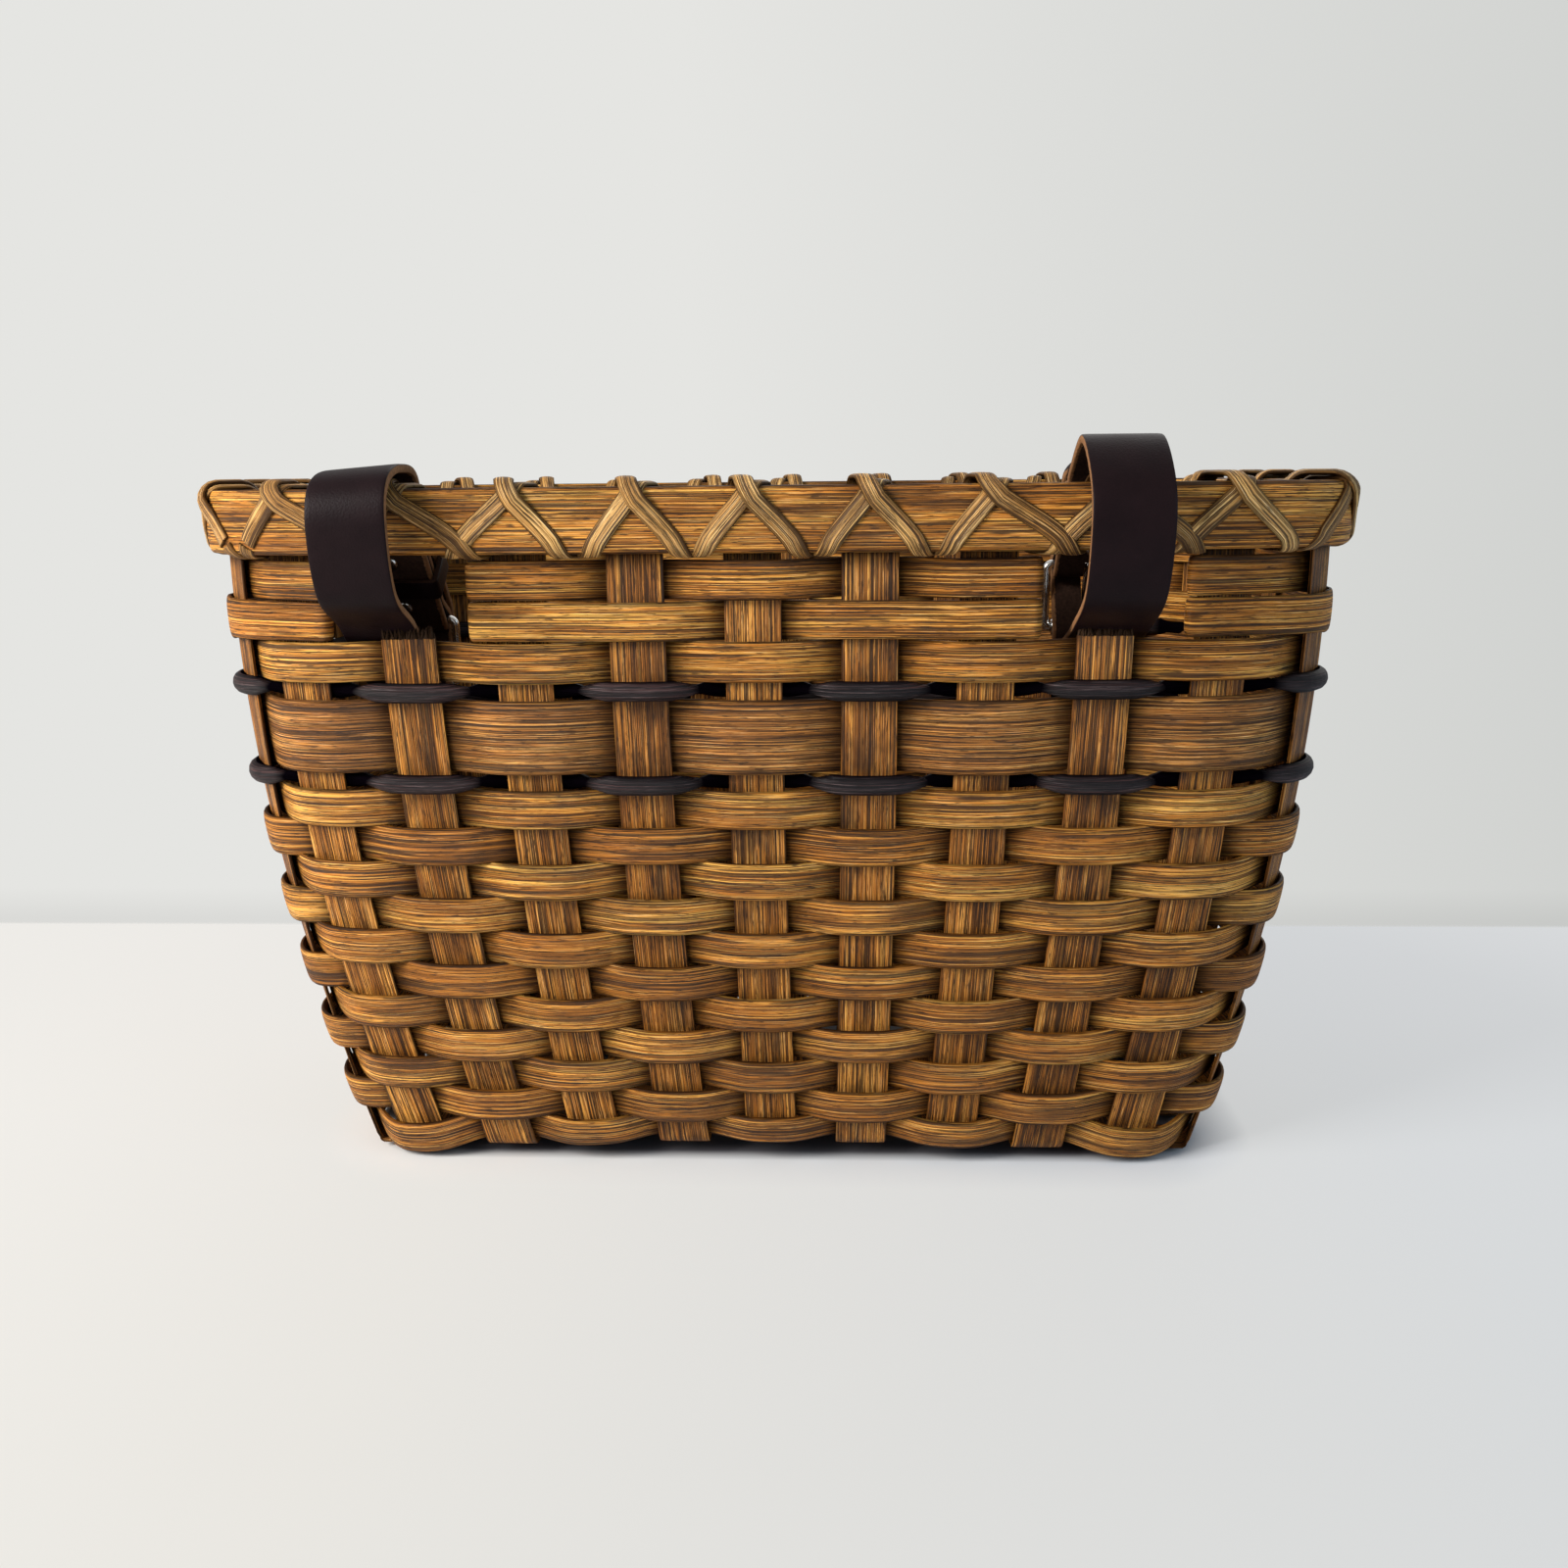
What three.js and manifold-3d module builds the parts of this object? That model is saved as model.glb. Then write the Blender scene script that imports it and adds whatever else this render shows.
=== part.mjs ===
// A hand-woven bicycle basket of flat reed, with two buckled leather straps for the handlebar.
// Millimetres, +Z up. The strap side faces -Y and the origin is on the floor, under the middle.
import * as THREE from "three";
import { mergeVertices } from "three/addons/utils/BufferGeometryUtils.js";
import Module from "manifold-3d";

const wasm = await Module();
wasm.setup();

// Reed stock
const STAKE_WIDTH = 19;
const STAKE_THICK = 1.4;
const WEAVER_WIDTH = 12.7;
const WEAVER_THICK = 1.8;
const WIDE_WEAVER_WIDTH = 25.4;
const DYED_DIAMETER = 5.8;
const RIM_HEIGHT = 21.5;
const RIM_THICK = 4.5;
const RIM_EDGE = 2;
const LASH_WIDTH = 7.2;
const LASH_THICK = 1.1;

// Clearances between touching pieces
const WEAVE_GAP = 0.4;
const ROW_GAP = 0.35;
const LASH_GAP = 0.4;

// Outline of the stakes at the base and under the rim
const BASE_HALF_LENGTH = 160;
const BASE_HALF_DEPTH = 74;
const BASE_SQUARENESS = 9;
const RIM_HALF_LENGTH = 194;
const RIM_HALF_DEPTH = 105;
const RIM_SQUARENESS = 6;

// Stakes: cross stakes run front to back under the base, long stakes run side to side
const CROSS_COUNT = 9;
const CROSS_INSET_BASE = 28;
const CROSS_INSET_RIM = 39.2;
const CROSS_DRIFT_BASE = -2;
const CROSS_DRIFT_FRONT = -5;
const LONG_COUNT = 5;
const LONG_INSET_BASE = 16;
const LONG_INSET_RIM = 23;
const STAKE_BEND = 4;
const STAKE_STEPS = 8;
const STAKE_TOP_SETBACK = 3;
const CUT_STAKES = [2, 8];
const CUT_STAKE_STUB = 2.5;

// Rows of weaving, counted from the bottom
const ROWS_UNDER_BAND = 11;
const BOTTOM_ROW_LIFT = 1;
const BOTTOM_ROW_SAG = 3.6;
const RIM_ROW_LIFT = 1;
const FOLD_REACH_INNER = 5;
const FOLD_REACH_OUTER = 0.3;
const FOLD_TUCK = 8;

// Lashing: places along the rim in half stake pitches, and how a slanting strand widens along it
const LASH_SPREAD = 0.1;
const LASH_CREST = 0.12;
const LASH_TURN = 1;
const LASH_SLANT = 1.3;

// Leather straps
const STRAP_WIDTH = 25.4;
const STRAP_THICK = 3;
const STRAP_GAP = 0.4;
const FLAP_LENGTH = 37;
const FLAP_FOOT = 7.3;
const TAIL_LENGTH = 44;
const RUN_TILT = THREE.MathUtils.degToRad(40);
const SIDES = {
  left: { aside: -9.9, crown: 7, front: 14, inside: 3, sill: 1.9, heelInset: 42, heelDrop: 47 },
  right: { aside: 1.9, crown: 15, front: 18.5, inside: 8, sill: 1.3, heelInset: 50, heelDrop: 29 },
};
const STRAIGHT_RUN = 36;
const INSIDE_RISE = 0.2;
const SHOULDER_RISE = 0.25;
const SHOULDER_REACH = 0.6;
const DIP_PLACE = 0.45;
const HOLE_RADIUS = 2.25;
const HOLE_HEIGHTS = [8, 28];

// Roller buckles, keepers and rivets
const BAR_RADIUS = 1.5;
const BAR_GAP = 0.3;
const FRAME_REACH = 23;
const FRAME_TILT = THREE.MathUtils.degToRad(5);
const FRAME_CORNER = 2.2;
const FRAME_SIDE_GAP = 0.8;
const ROLLER_WALL = 1;
const PRONG_WIDTH = 3.6;
const PRONG_THICK = 2.2;
const PRONG_EYE_WALL = 1.3;
const PRONG_OVERHANG = 1.5;
const PRONG_SWING = THREE.MathUtils.degToRad(30);
const KEEPER_WIDTH = 8;
const KEEPER_THICK = 2;
const KEEPER_HEIGHT = 21;
const RIVET_HEIGHTS = [10.5, 32];
const RIVET_RADIUS = 1.6;
const RIVET_HEAD_RADIUS = 3;
const RIVET_HEAD_THICK = 1;
const RIVET_GAP = 0.2;

// Finishes
const STAINED_REED = { color: 0x9a6a2f, roughness: 0.55, metalness: 0 };
const DYED_REED = { color: 0x2e2226, roughness: 0.5, metalness: 0 };
const LEATHER = { color: 0x2b2022, roughness: 0.5, metalness: 0 };
const NICKEL = { color: 0xc9c9c6, roughness: 0.2, metalness: 1 };

const basket = new THREE.Group();
const UP = new THREE.Vector3(0, 0, 1);
const DOWN = new THREE.Vector3(0, 0, -1);
const EAST = new THREE.Vector3(1, 0, 0);
const WEST = new THREE.Vector3(-1, 0, 0);
const NORTH = new THREE.Vector3(0, 1, 0);
const SOUTH = new THREE.Vector3(0, -1, 0);

function addPiece(name, geometry, finish, group = basket) {
  const mesh = new THREE.Mesh(geometry, new THREE.MeshStandardMaterial(finish));
  mesh.name = name;
  group.add(mesh);
  return mesh;
}

// Solids swept along stations

// Six times the signed volume of a closed mesh, which is negative when its faces point inwards.
function signedVolume(points, faces) {
  let sum = 0;
  for (let i = 0; i < faces.length; i += 3) {
    const [a, b, c] = [points[faces[i]], points[faces[i + 1]], points[faces[i + 2]]];
    sum += a.dot(b.clone().cross(c));
  }
  return sum;
}

// A solid with the same section at every station, each of which holds a place and two section axes.
function sweep(stations, section, closed) {
  const points = [];
  const faces = [];
  const sides = section.length;
  for (const { at, across, out } of stations) {
    for (const [a, b] of section) {
      points.push(at.clone().addScaledVector(across, a).addScaledVector(out, b));
    }
  }
  const spans = closed ? stations.length : stations.length - 1;
  for (let s = 0; s < spans; s++) {
    const here = s * sides;
    const next = ((s + 1) % stations.length) * sides;
    for (let k = 0; k < sides; k++) {
      const l = (k + 1) % sides;
      faces.push(here + k, here + l, next + l, here + k, next + l, next + k);
    }
  }
  if (!closed) {
    const last = (stations.length - 1) * sides;
    for (let k = 1; k < sides - 1; k++) {
      faces.push(0, k + 1, k, last, last + k, last + k + 1);
    }
  }
  if (signedVolume(points, faces) < 0) {
    faces.reverse();
  }
  return new THREE.BufferGeometry().setFromPoints(points).setIndex(faces);
}

function flatSection(width, thick) {
  const [w, t] = [width / 2, thick / 2];
  return [[-w, -t], [w, -t], [w, t], [-w, t]];
}

function roundSection(radius, sides) {
  const turn = (k) => ((k + 0.5) / sides) * 2 * Math.PI;
  return Array.from({ length: sides }, (_, k) => [
    radius * Math.cos(turn(k)),
    radius * Math.sin(turn(k)),
  ]);
}

// Heights

const baseMid = 1.5 * STAKE_THICK + WEAVE_GAP;
const baseTop = 3 * STAKE_THICK + 2 * WEAVE_GAP;

const rows = [];
let level = baseTop + BOTTOM_ROW_LIFT;

function stackRow(name, height) {
  rows.push({ name, height, z: level + height / 2, odd: rows.length % 2 === 0 });
  level += height + ROW_GAP;
  return rows.at(-1);
}

for (let k = 1; k <= ROWS_UNDER_BAND; k++) {
  stackRow("weaver_row_" + String(k).padStart(2, "0"), WEAVER_WIDTH);
}
const dyedLower = stackRow("dyed_reed_lower", DYED_DIAMETER);
const wideRow = stackRow("wide_weaver", WIDE_WEAVER_WIDTH);
const dyedUpper = stackRow("dyed_reed_upper", DYED_DIAMETER);
const sillRow = stackRow("weaver_row_15", WEAVER_WIDTH);
const lowerOpenRow = stackRow("weaver_row_16", WEAVER_WIDTH);
const upperOpenRow = stackRow("weaver_row_17", WEAVER_WIDTH);
const sill = sillRow.z + sillRow.height / 2;
const rimBottom = level - ROW_GAP + 2 * LASH_THICK + 3 * LASH_GAP;
const rimTop = rimBottom + RIM_HEIGHT;

// Walls: rounded outlines at the base and the rim, joined by a flare that ends upright

const baseOutline = { length: BASE_HALF_LENGTH, depth: BASE_HALF_DEPTH, power: BASE_SQUARENESS };
const rimOutline = { length: RIM_HALF_LENGTH, depth: RIM_HALF_DEPTH, power: RIM_SQUARENESS };

function atLength({ length, depth, power }, x, side) {
  const share = (1 - Math.abs(x / length) ** power) ** (1 / power);
  return new THREE.Vector2(x, side * depth * share);
}

function atDepth({ length, depth, power }, y, side) {
  const share = (1 - Math.abs(y / depth) ** power) ** (1 / power);
  return new THREE.Vector2(side * length * share, y);
}

function facing({ length, depth, power }, { x, y }) {
  return new THREE.Vector2(
    (Math.sign(x) * Math.abs(x / length) ** (power - 1)) / length,
    (Math.sign(y) * Math.abs(y / depth) ** (power - 1)) / depth,
  ).normalize();
}

function upright(place, footAlong, headAlong, side) {
  const foot = place(baseOutline, footAlong, side);
  const head = place(rimOutline, headAlong, side);
  return { foot, head, footOut: facing(baseOutline, foot), headOut: facing(rimOutline, head) };
}

// Where a stake's middle is at height z, with the wall's own axes there.
function onWall({ foot, head, footOut, headOut }, z) {
  const rise = rimBottom - baseMid;
  const t = THREE.MathUtils.clamp((z - baseMid) / rise, 0, 1);
  const flare = 2 * t - t * t;
  const lean = (2 - 2 * t) / rise;
  const at = foot.clone().lerp(head, flare);
  const out2 = footOut.clone().lerp(headOut, flare).normalize();
  const run = head.clone().sub(foot).multiplyScalar(lean);
  const along = new THREE.Vector3(-out2.y, out2.x, 0);
  const out = along.clone().cross(new THREE.Vector3(run.x, run.y, 1)).normalize();
  const up = out.clone().cross(along);
  return { at: new THREE.Vector3(at.x, at.y, z), along, out, up };
}

// Where stake k of a side stands, with the outermost stakes set in from the side's ends.
function spaced(k, count, half, inset) {
  const middle = (count + 1) / 2;
  return ((k - middle) / (middle - 1)) * (half - inset);
}

// The front arms lean a little to one side, as they do on the real basket.
function crossUpright(k, side) {
  const drift = side < 0 ? CROSS_DRIFT_FRONT : 0;
  const footAlong = spaced(k, CROSS_COUNT, BASE_HALF_LENGTH, CROSS_INSET_BASE) + CROSS_DRIFT_BASE;
  const headAlong = spaced(k, CROSS_COUNT, RIM_HALF_LENGTH, CROSS_INSET_RIM) + drift;
  return upright(atLength, footAlong, headAlong, side);
}

function longUpright(k, side) {
  const footAlong = spaced(k, LONG_COUNT, BASE_HALF_DEPTH, LONG_INSET_BASE);
  const headAlong = spaced(k, LONG_COUNT, RIM_HALF_DEPTH, LONG_INSET_RIM);
  return upright(atDepth, footAlong, headAlong, side);
}

// Every upright in order round the wall: along the front, the right side, the back and the left side.
const crossNumbers = Array.from({ length: CROSS_COUNT }, (_, k) => k + 1);
const longNumbers = Array.from({ length: LONG_COUNT }, (_, k) => k + 1);
const uprights = [
  ...crossNumbers.map((k) => crossUpright(k, -1)),
  ...longNumbers.map((k) => longUpright(k, 1)),
  ...crossNumbers.toReversed().map((k) => crossUpright(k, 1)),
  ...longNumbers.toReversed().map((k) => longUpright(k, -1)),
];

// Stakes

const stakeSection = flatSection(STAKE_WIDTH, STAKE_THICK);
const stakeTop = rimTop - STAKE_TOP_SETBACK;
const crossingReach = STAKE_WIDTH / 2 + WEAVE_GAP;

// The stations of one upright arm, from its top down to its bend into the base.
function armStations(arm, top, across, inward) {
  const low = baseMid + STAKE_BEND;
  const high = Math.min(top, rimBottom);
  const heights = Array.from(
    { length: STAKE_STEPS + 1 },
    (_, s) => high - ((high - low) * s) / STAKE_STEPS,
  );
  if (top > high) {
    heights.unshift(top);
  }
  const stations = heights.map((z) => {
    const { at, along, out } = onWall(arm, z);
    return { at, across: along.multiplyScalar(Math.sign(along.dot(across))), out };
  });
  const { at, out } = onWall(arm, baseMid);
  const softened = STAKE_BEND * (1 - Math.SQRT1_2);
  stations.push({
    at: at.clone().addScaledVector(inward, softened).addScaledVector(UP, softened),
    across,
    out: out.clone().add(DOWN).normalize(),
  });
  stations.push({ at: at.clone().addScaledVector(inward, STAKE_BEND), across, out: DOWN });
  return stations;
}

for (const k of crossNumbers) {
  const frontTop = CUT_STAKES.includes(k) ? sill + CUT_STAKE_STUB : stakeTop;
  const front = armStations(crossUpright(k, -1), frontTop, EAST, NORTH);
  const back = armStations(crossUpright(k, 1), stakeTop, EAST, SOUTH);
  addPiece("cross_stake_" + k, sweep([...front, ...back.reverse()], stakeSection, false), STAINED_REED);
}

// Long stakes pass under and over the cross stakes by turns.
for (const k of longNumbers) {
  const left = armStations(longUpright(k, -1), stakeTop, SOUTH, EAST);
  const right = armStations(longUpright(k, 1), stakeTop, SOUTH, WEST);
  const weave = crossNumbers.flatMap((c) => {
    const under = (c + k) % 2 === 0;
    const shift = (STAKE_THICK + WEAVE_GAP) * (under ? -1 : 1);
    const middle = crossUpright(c, -1).foot.x;
    return [-crossingReach, crossingReach].map((reach) => ({
      at: new THREE.Vector3(middle + reach, left.at(-1).at.y, baseMid + shift),
      across: SOUTH,
      out: DOWN,
    }));
  });
  const stations = [...left, ...weave, ...right.reverse()];
  addPiece("long_stake_" + k, sweep(stations, stakeSection, false), STAINED_REED);
}

// Rows of weaving

// The two stations where a row crosses one upright, outside it or inside it.
function crossing(arm, z, shift, reaches = [-crossingReach, crossingReach]) {
  const { at, along, out, up } = onWall(arm, z);
  return reaches.map((reach) => ({
    at: at.clone().addScaledVector(along, reach).addScaledVector(out, shift),
    across: up,
    out,
  }));
}

function rowShift(thick) {
  return STAKE_THICK / 2 + WEAVE_GAP + thick / 2;
}

function rowLoop(row, section, thick, sag) {
  const stations = uprights.flatMap((arm, k) => {
    const outside = (k % 2 === 0) === row.odd;
    return crossing(arm, outside ? row.z - sag : row.z, rowShift(thick) * (outside ? 1 : -1));
  });
  return sweep(stations, section, true);
}

const weaverSection = flatSection(WEAVER_WIDTH, WEAVER_THICK);
for (const row of [...rows.slice(0, ROWS_UNDER_BAND), sillRow]) {
  const sag = row === rows[0] ? BOTTOM_ROW_SAG : 0;
  addPiece(row.name, rowLoop(row, weaverSection, WEAVER_THICK, sag), STAINED_REED);
}
const wideSection = flatSection(WIDE_WEAVER_WIDTH, WEAVER_THICK);
addPiece(wideRow.name, rowLoop(wideRow, wideSection, WEAVER_THICK, 0), STAINED_REED);
const dyedSection = roundSection(DYED_DIAMETER / 2, 6);
for (const row of [dyedLower, dyedUpper]) {
  addPiece(row.name, rowLoop(row, dyedSection, DYED_DIAMETER, 0), DYED_REED);
}
const rimRow = { z: rimBottom + RIM_ROW_LIFT + WEAVER_WIDTH / 2, odd: false };
addPiece("rim_weaver", rowLoop(rimRow, weaverSection, WEAVER_THICK, 0), STAINED_REED);

// A row's end beside a strap opening, folded round its last upright and tucked behind it.
function foldedEnd(arm, z, direction, reach) {
  const shift = rowShift(WEAVER_THICK);
  const edge = direction * (STAKE_WIDTH / 2 + reach);
  const tip = edge + direction * (WEAVER_THICK / 2 + reach * 0.1);
  const [outer] = crossing(arm, z, shift, [edge]);
  const [turn] = crossing(arm, z, 0, [tip]);
  const [inner, tucked] = crossing(arm, z, -shift, [edge, -direction * FOLD_TUCK]);
  turn.out = onWall(arm, z).along.multiplyScalar(direction);
  for (const station of [inner, tucked]) {
    station.out = station.out.clone().negate();
  }
  return [outer, turn, inner, tucked];
}

// A row cut short at both ends, which passes outside its first and last uprights.
function rowStretch(row, first, last, reach) {
  const shift = rowShift(WEAVER_THICK);
  const arms = [];
  for (let k = first; k <= last; k++) {
    const end = k === first || k === last;
    const outside = end || (k % 2 === 0) === row.odd;
    const near = k === first ? [crossingReach] : [-crossingReach];
    const reaches = end ? near : undefined;
    arms.push(...crossing(uprights[k % uprights.length], row.z, outside ? shift : -shift, reaches));
  }
  const start = foldedEnd(uprights[first % uprights.length], row.z, -1, reach);
  const finish = foldedEnd(uprights[last % uprights.length], row.z, 1, reach);
  return sweep([...start.reverse(), ...arms, ...finish], weaverSection, false);
}

// The uprights beside a cut stake bound its opening. Stake k is upright k - 1.
const [leftCut, rightCut] = CUT_STAKES.map((k) => k - 1);
for (const row of [lowerOpenRow, upperOpenRow]) {
  const between = rowStretch(row, leftCut + 1, rightCut - 1, FOLD_REACH_INNER);
  const around = rowStretch(row, rightCut + 1, leftCut - 1 + uprights.length, FOLD_REACH_OUTER);
  addPiece(row.name + "_front", between, STAINED_REED);
  addPiece(row.name + "_around", around, STAINED_REED);
}

// Rim

const railInside = rowShift(WEAVER_THICK) + WEAVER_THICK / 2 + LASH_GAP;
const railOutside = railInside + RIM_THICK;
const rail = uprights.flatMap((arm) => crossing(arm, rimBottom, 0));

// The rim's cross-section: flat towards the stakes and rounded away from them.
function bandSection(sign) {
  const half = RIM_HEIGHT / 2;
  const middle = railOutside - RIM_EDGE;
  return [
    [-half, sign * railInside],
    [half, sign * railInside],
    [half, sign * middle],
    [half - RIM_EDGE, sign * railOutside],
    [RIM_EDGE - half, sign * railOutside],
    [-half, sign * middle],
  ];
}

const rimStations = rail.map(({ at, out }) => ({
  at: at.clone().setZ((rimBottom + rimTop) / 2),
  across: UP,
  out,
}));
addPiece("rim_band_outer", sweep(rimStations, bandSection(1), true), STAINED_REED);
addPiece("rim_band_inner", sweep(rimStations, bandSection(-1), true), STAINED_REED);

// A place on the rim: how far round it, how far out from the stakes, and at what height.
function onRail(place, shift, z) {
  const whole = Math.floor(place);
  const here = rail[THREE.MathUtils.euclideanModulo(whole, rail.length)];
  const next = rail[THREE.MathUtils.euclideanModulo(whole + 1, rail.length)];
  const at = here.at.clone().addScaledVector(here.out, shift);
  const side = next.at.clone().addScaledVector(next.out, shift).sub(at);
  const rimward = side.clone().normalize();
  const out = new THREE.Vector3(rimward.y, -rimward.x, 0);
  return { at: at.addScaledVector(side, place - whole).setZ(z), out, rimward, room: side.length() };
}

// One strand wound round the rim once at every upright, rising or falling along its outside.
function lashing(direction, layer) {
  const lift = LASH_GAP + LASH_THICK / 2 + layer * (LASH_THICK + LASH_GAP);
  const wall = railOutside + lift;
  const edge = railOutside - LASH_TURN;
  const [high, low] = [rimTop - LASH_TURN, rimBottom + LASH_TURN];
  const turn = [
    [-1 + LASH_SPREAD, wall, low, "out"],
    [-0.5, wall, (high + low) / 2, "corner"],
    [-LASH_CREST, wall, high, "out"],
    [0, edge, rimTop + lift, "up"],
    [LASH_CREST, -edge, rimTop + lift, "up"],
    [2 * LASH_CREST, -wall, high, "in"],
    [0.5, -wall, (high + low) / 2, "innerCorner"],
    [1 + LASH_SPREAD - LASH_CREST, -wall, low, "in"],
    [1 + LASH_SPREAD, -edge, rimBottom - lift, "down"],
    [1 + LASH_SPREAD, edge, rimBottom - lift, "down"],
  ];
  const order = uprights.map((_, k) => (direction > 0 ? k : uprights.length - 1 - k));
  return order.flatMap((k) =>
    turn.map(([along, shift, z, face]) => {
      const { at, out, rimward, room } = onRail(2 * k + 0.5 + direction * along, shift, z);
      const slanted = rimward.clone().multiplyScalar(Math.min(LASH_SLANT, room / LASH_WIDTH));
      const upright = UP.clone().multiplyScalar(-direction * LASH_SLANT);
      const inward = out.clone().negate();
      const faces = {
        out: { at, out, across: slanted },
        corner: { at, out, across: upright },
        up: { at, out: UP, across: rimward },
        in: { at, out: inward, across: slanted },
        innerCorner: { at, out: inward, across: upright.clone().negate() },
        down: { at, out: DOWN, across: rimward },
      };
      return faces[face];
    }),
  );
}

const lashSection = flatSection(LASH_WIDTH, LASH_THICK);
addPiece("lashing_rising", sweep(lashing(1, 0), lashSection, true), STAINED_REED);
addPiece("lashing_falling", sweep(lashing(-1, 1), lashSection, true), STAINED_REED);

// Cutting one closed solid out of another

function toSolid(geometry) {
  const bare = new THREE.BufferGeometry().setAttribute("position", geometry.getAttribute("position"));
  if (geometry.index) {
    bare.setIndex(geometry.index);
  }
  const merged = mergeVertices(bare, 1e-4);
  const mesh = new wasm.Mesh({
    numProp: 3,
    vertProperties: new Float32Array(merged.getAttribute("position").array),
    triVerts: new Uint32Array(merged.index.array),
  });
  return new wasm.Manifold(mesh);
}

function cut(geometry, tools) {
  let solid = toSolid(geometry);
  for (const tool of tools) {
    solid = solid.subtract(toSolid(tool));
  }
  const { vertProperties, triVerts } = solid.getMesh();
  return new THREE.BufferGeometry()
    .setAttribute("position", new THREE.BufferAttribute(new Float32Array(vertProperties), 3))
    .setIndex(new THREE.BufferAttribute(new Uint32Array(triVerts), 1));
}

// Straps: drawn in the upright plane across the rim, then given their width along the rim

const eyeRadius = BAR_RADIUS + BAR_GAP + STRAP_THICK / 2;
const flapShift = STRAP_THICK + STRAP_GAP - eyeRadius;
const tailRadius = eyeRadius + STRAP_THICK + STRAP_GAP;
const rollerRadius = BAR_RADIUS + BAR_GAP + ROLLER_WALL;
const rollerPass = rollerRadius + BAR_GAP + STRAP_THICK / 2;
const prongLean = Math.asin((rollerRadius + BAR_GAP + PRONG_THICK / 2) / FRAME_REACH);
const lashedOut = railOutside + 2 * (LASH_THICK + LASH_GAP);

// Turns a shape drawn in the upright plane, and given depth, so that its depth lies along X.
function layAcross(geometry, depth) {
  const turn = new THREE.Matrix4().makeBasis(
    new THREE.Vector3(0, 1, 0),
    new THREE.Vector3(0, 0, 1),
    new THREE.Vector3(1, 0, 0),
  );
  return geometry.translate(0, 0, -depth / 2).applyMatrix4(turn);
}

function polar(angle, radius) {
  return new THREE.Vector2(radius * Math.cos(angle), radius * Math.sin(angle));
}

// The straight stretch of tail from the roller to the bend round the heel bar, seen from that bar.
function tailPass() {
  const frameUp = FRAME_TILT + Math.PI / 2;
  const rise = frameUp - Math.asin((rollerPass + tailRadius) / FRAME_REACH);
  const roller = polar(frameUp, -FRAME_REACH).add(polar(rise + Math.PI / 2, rollerPass));
  const bendAngle = rise - Math.PI / 2;
  return { roller, bendAngle, bend: polar(bendAngle, tailRadius) };
}

// The middle line of one strap: flap, eye round the heel bar, over the rim, through the wall, tail.
function strapPath(side, heel) {
  const runOut = polar(RUN_TILT, 1);
  const runUp = polar(RUN_TILT + Math.PI / 2, 1);
  const onRun = (out, up) => heel.clone().addScaledVector(runOut, out).addScaledVector(runUp, up);
  const { roller, bendAngle, bend } = tailPass();
  const pass = heel.clone().add(roller);
  const rising = bend.clone().sub(roller).normalize();
  const rimMiddle = (rimTop + rimBottom) / 2;
  const crownZ = rimTop + side.crown - STRAP_THICK / 2;
  const openingZ = sill + CUT_STAKE_STUB + side.sill + STRAP_THICK / 2;
  const opening = new THREE.Vector2(0, openingZ);
  const innerY = lashedOut + side.inside;
  const outerY = -lashedOut - side.front;
  const shoulderY = -lashedOut - side.front * SHOULDER_REACH;
  const dip = opening.clone().lerp(pass, DIP_PLACE);
  dip.y -= 2 * STRAP_THICK;
  const path = new THREE.Path();
  const start = onRun(flapShift, FLAP_LENGTH);
  path.moveTo(start.x, start.y);
  const flapFoot = onRun(flapShift, FLAP_FOOT);
  path.lineTo(flapFoot.x, flapFoot.y);
  const eyeStart = RUN_TILT + Math.PI / 2 - Math.acos(eyeRadius / FLAP_FOOT);
  path.absarc(heel.x, heel.y, eyeRadius, eyeStart, RUN_TILT - Math.PI, true);
  const runEnd = onRun(-eyeRadius, STRAIGHT_RUN);
  path.lineTo(runEnd.x, runEnd.y);
  path.splineThru([
    new THREE.Vector2(innerY, rimTop + side.crown * INSIDE_RISE),
    new THREE.Vector2(-STRAP_THICK, crownZ),
    new THREE.Vector2(shoulderY, rimTop + side.crown * SHOULDER_RISE),
    new THREE.Vector2(outerY, rimMiddle),
    new THREE.Vector2(shoulderY, (rimBottom + openingZ) / 2),
    opening,
    dip,
    pass.clone().addScaledVector(rising, -3 * STRAP_THICK),
    pass.clone().addScaledVector(rising, -STRAP_THICK),
  ]);
  path.lineTo(heel.x + bend.x, heel.y + bend.y);
  path.absarc(heel.x, heel.y, tailRadius, bendAngle, RUN_TILT, false);
  const end = onRun(tailRadius, TAIL_LENGTH);
  path.lineTo(end.x, end.y);
  return path;
}

// The outline of a strip of leather that follows a middle line.
function stripShape(path) {
  const points = path.getPoints(4).filter((p, k, all) => k === 0 || p.distanceTo(all[k - 1]) > 0.05);
  const face = (sign) =>
    points.map((p, k) => {
      const before = p.clone().sub(points[Math.max(k - 1, 0)]).normalize();
      const after = (points[k + 1] ?? p).clone().sub(p).normalize();
      const travel = before.clone().add(after).normalize();
      const stretch = travel.dot(k === 0 ? after : before);
      const away = new THREE.Vector2(-travel.y, travel.x);
      return p.clone().addScaledVector(away, (sign * STRAP_THICK) / 2 / stretch);
    });
  return new THREE.Shape([...face(1), ...face(-1).reverse()]);
}

// A round pin lying in the upright plane, along the given angle.
function pin(middle, angle, radius, length) {
  return new THREE.CylinderGeometry(radius, radius, length, 12)
    .rotateX(angle)
    .translate(0, middle.x, middle.y);
}

// Where the prong crosses the tail when it leans this far out from the frame, seen from the heel bar.
function prongCrossing(lean) {
  const { roller, bend } = tailPass();
  const tail = bend.clone().sub(roller);
  const prong = polar(FRAME_TILT - Math.PI / 2 + lean, 1);
  const reach = roller.cross(tail) / prong.cross(tail);
  return prong.multiplyScalar(reach);
}

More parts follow.
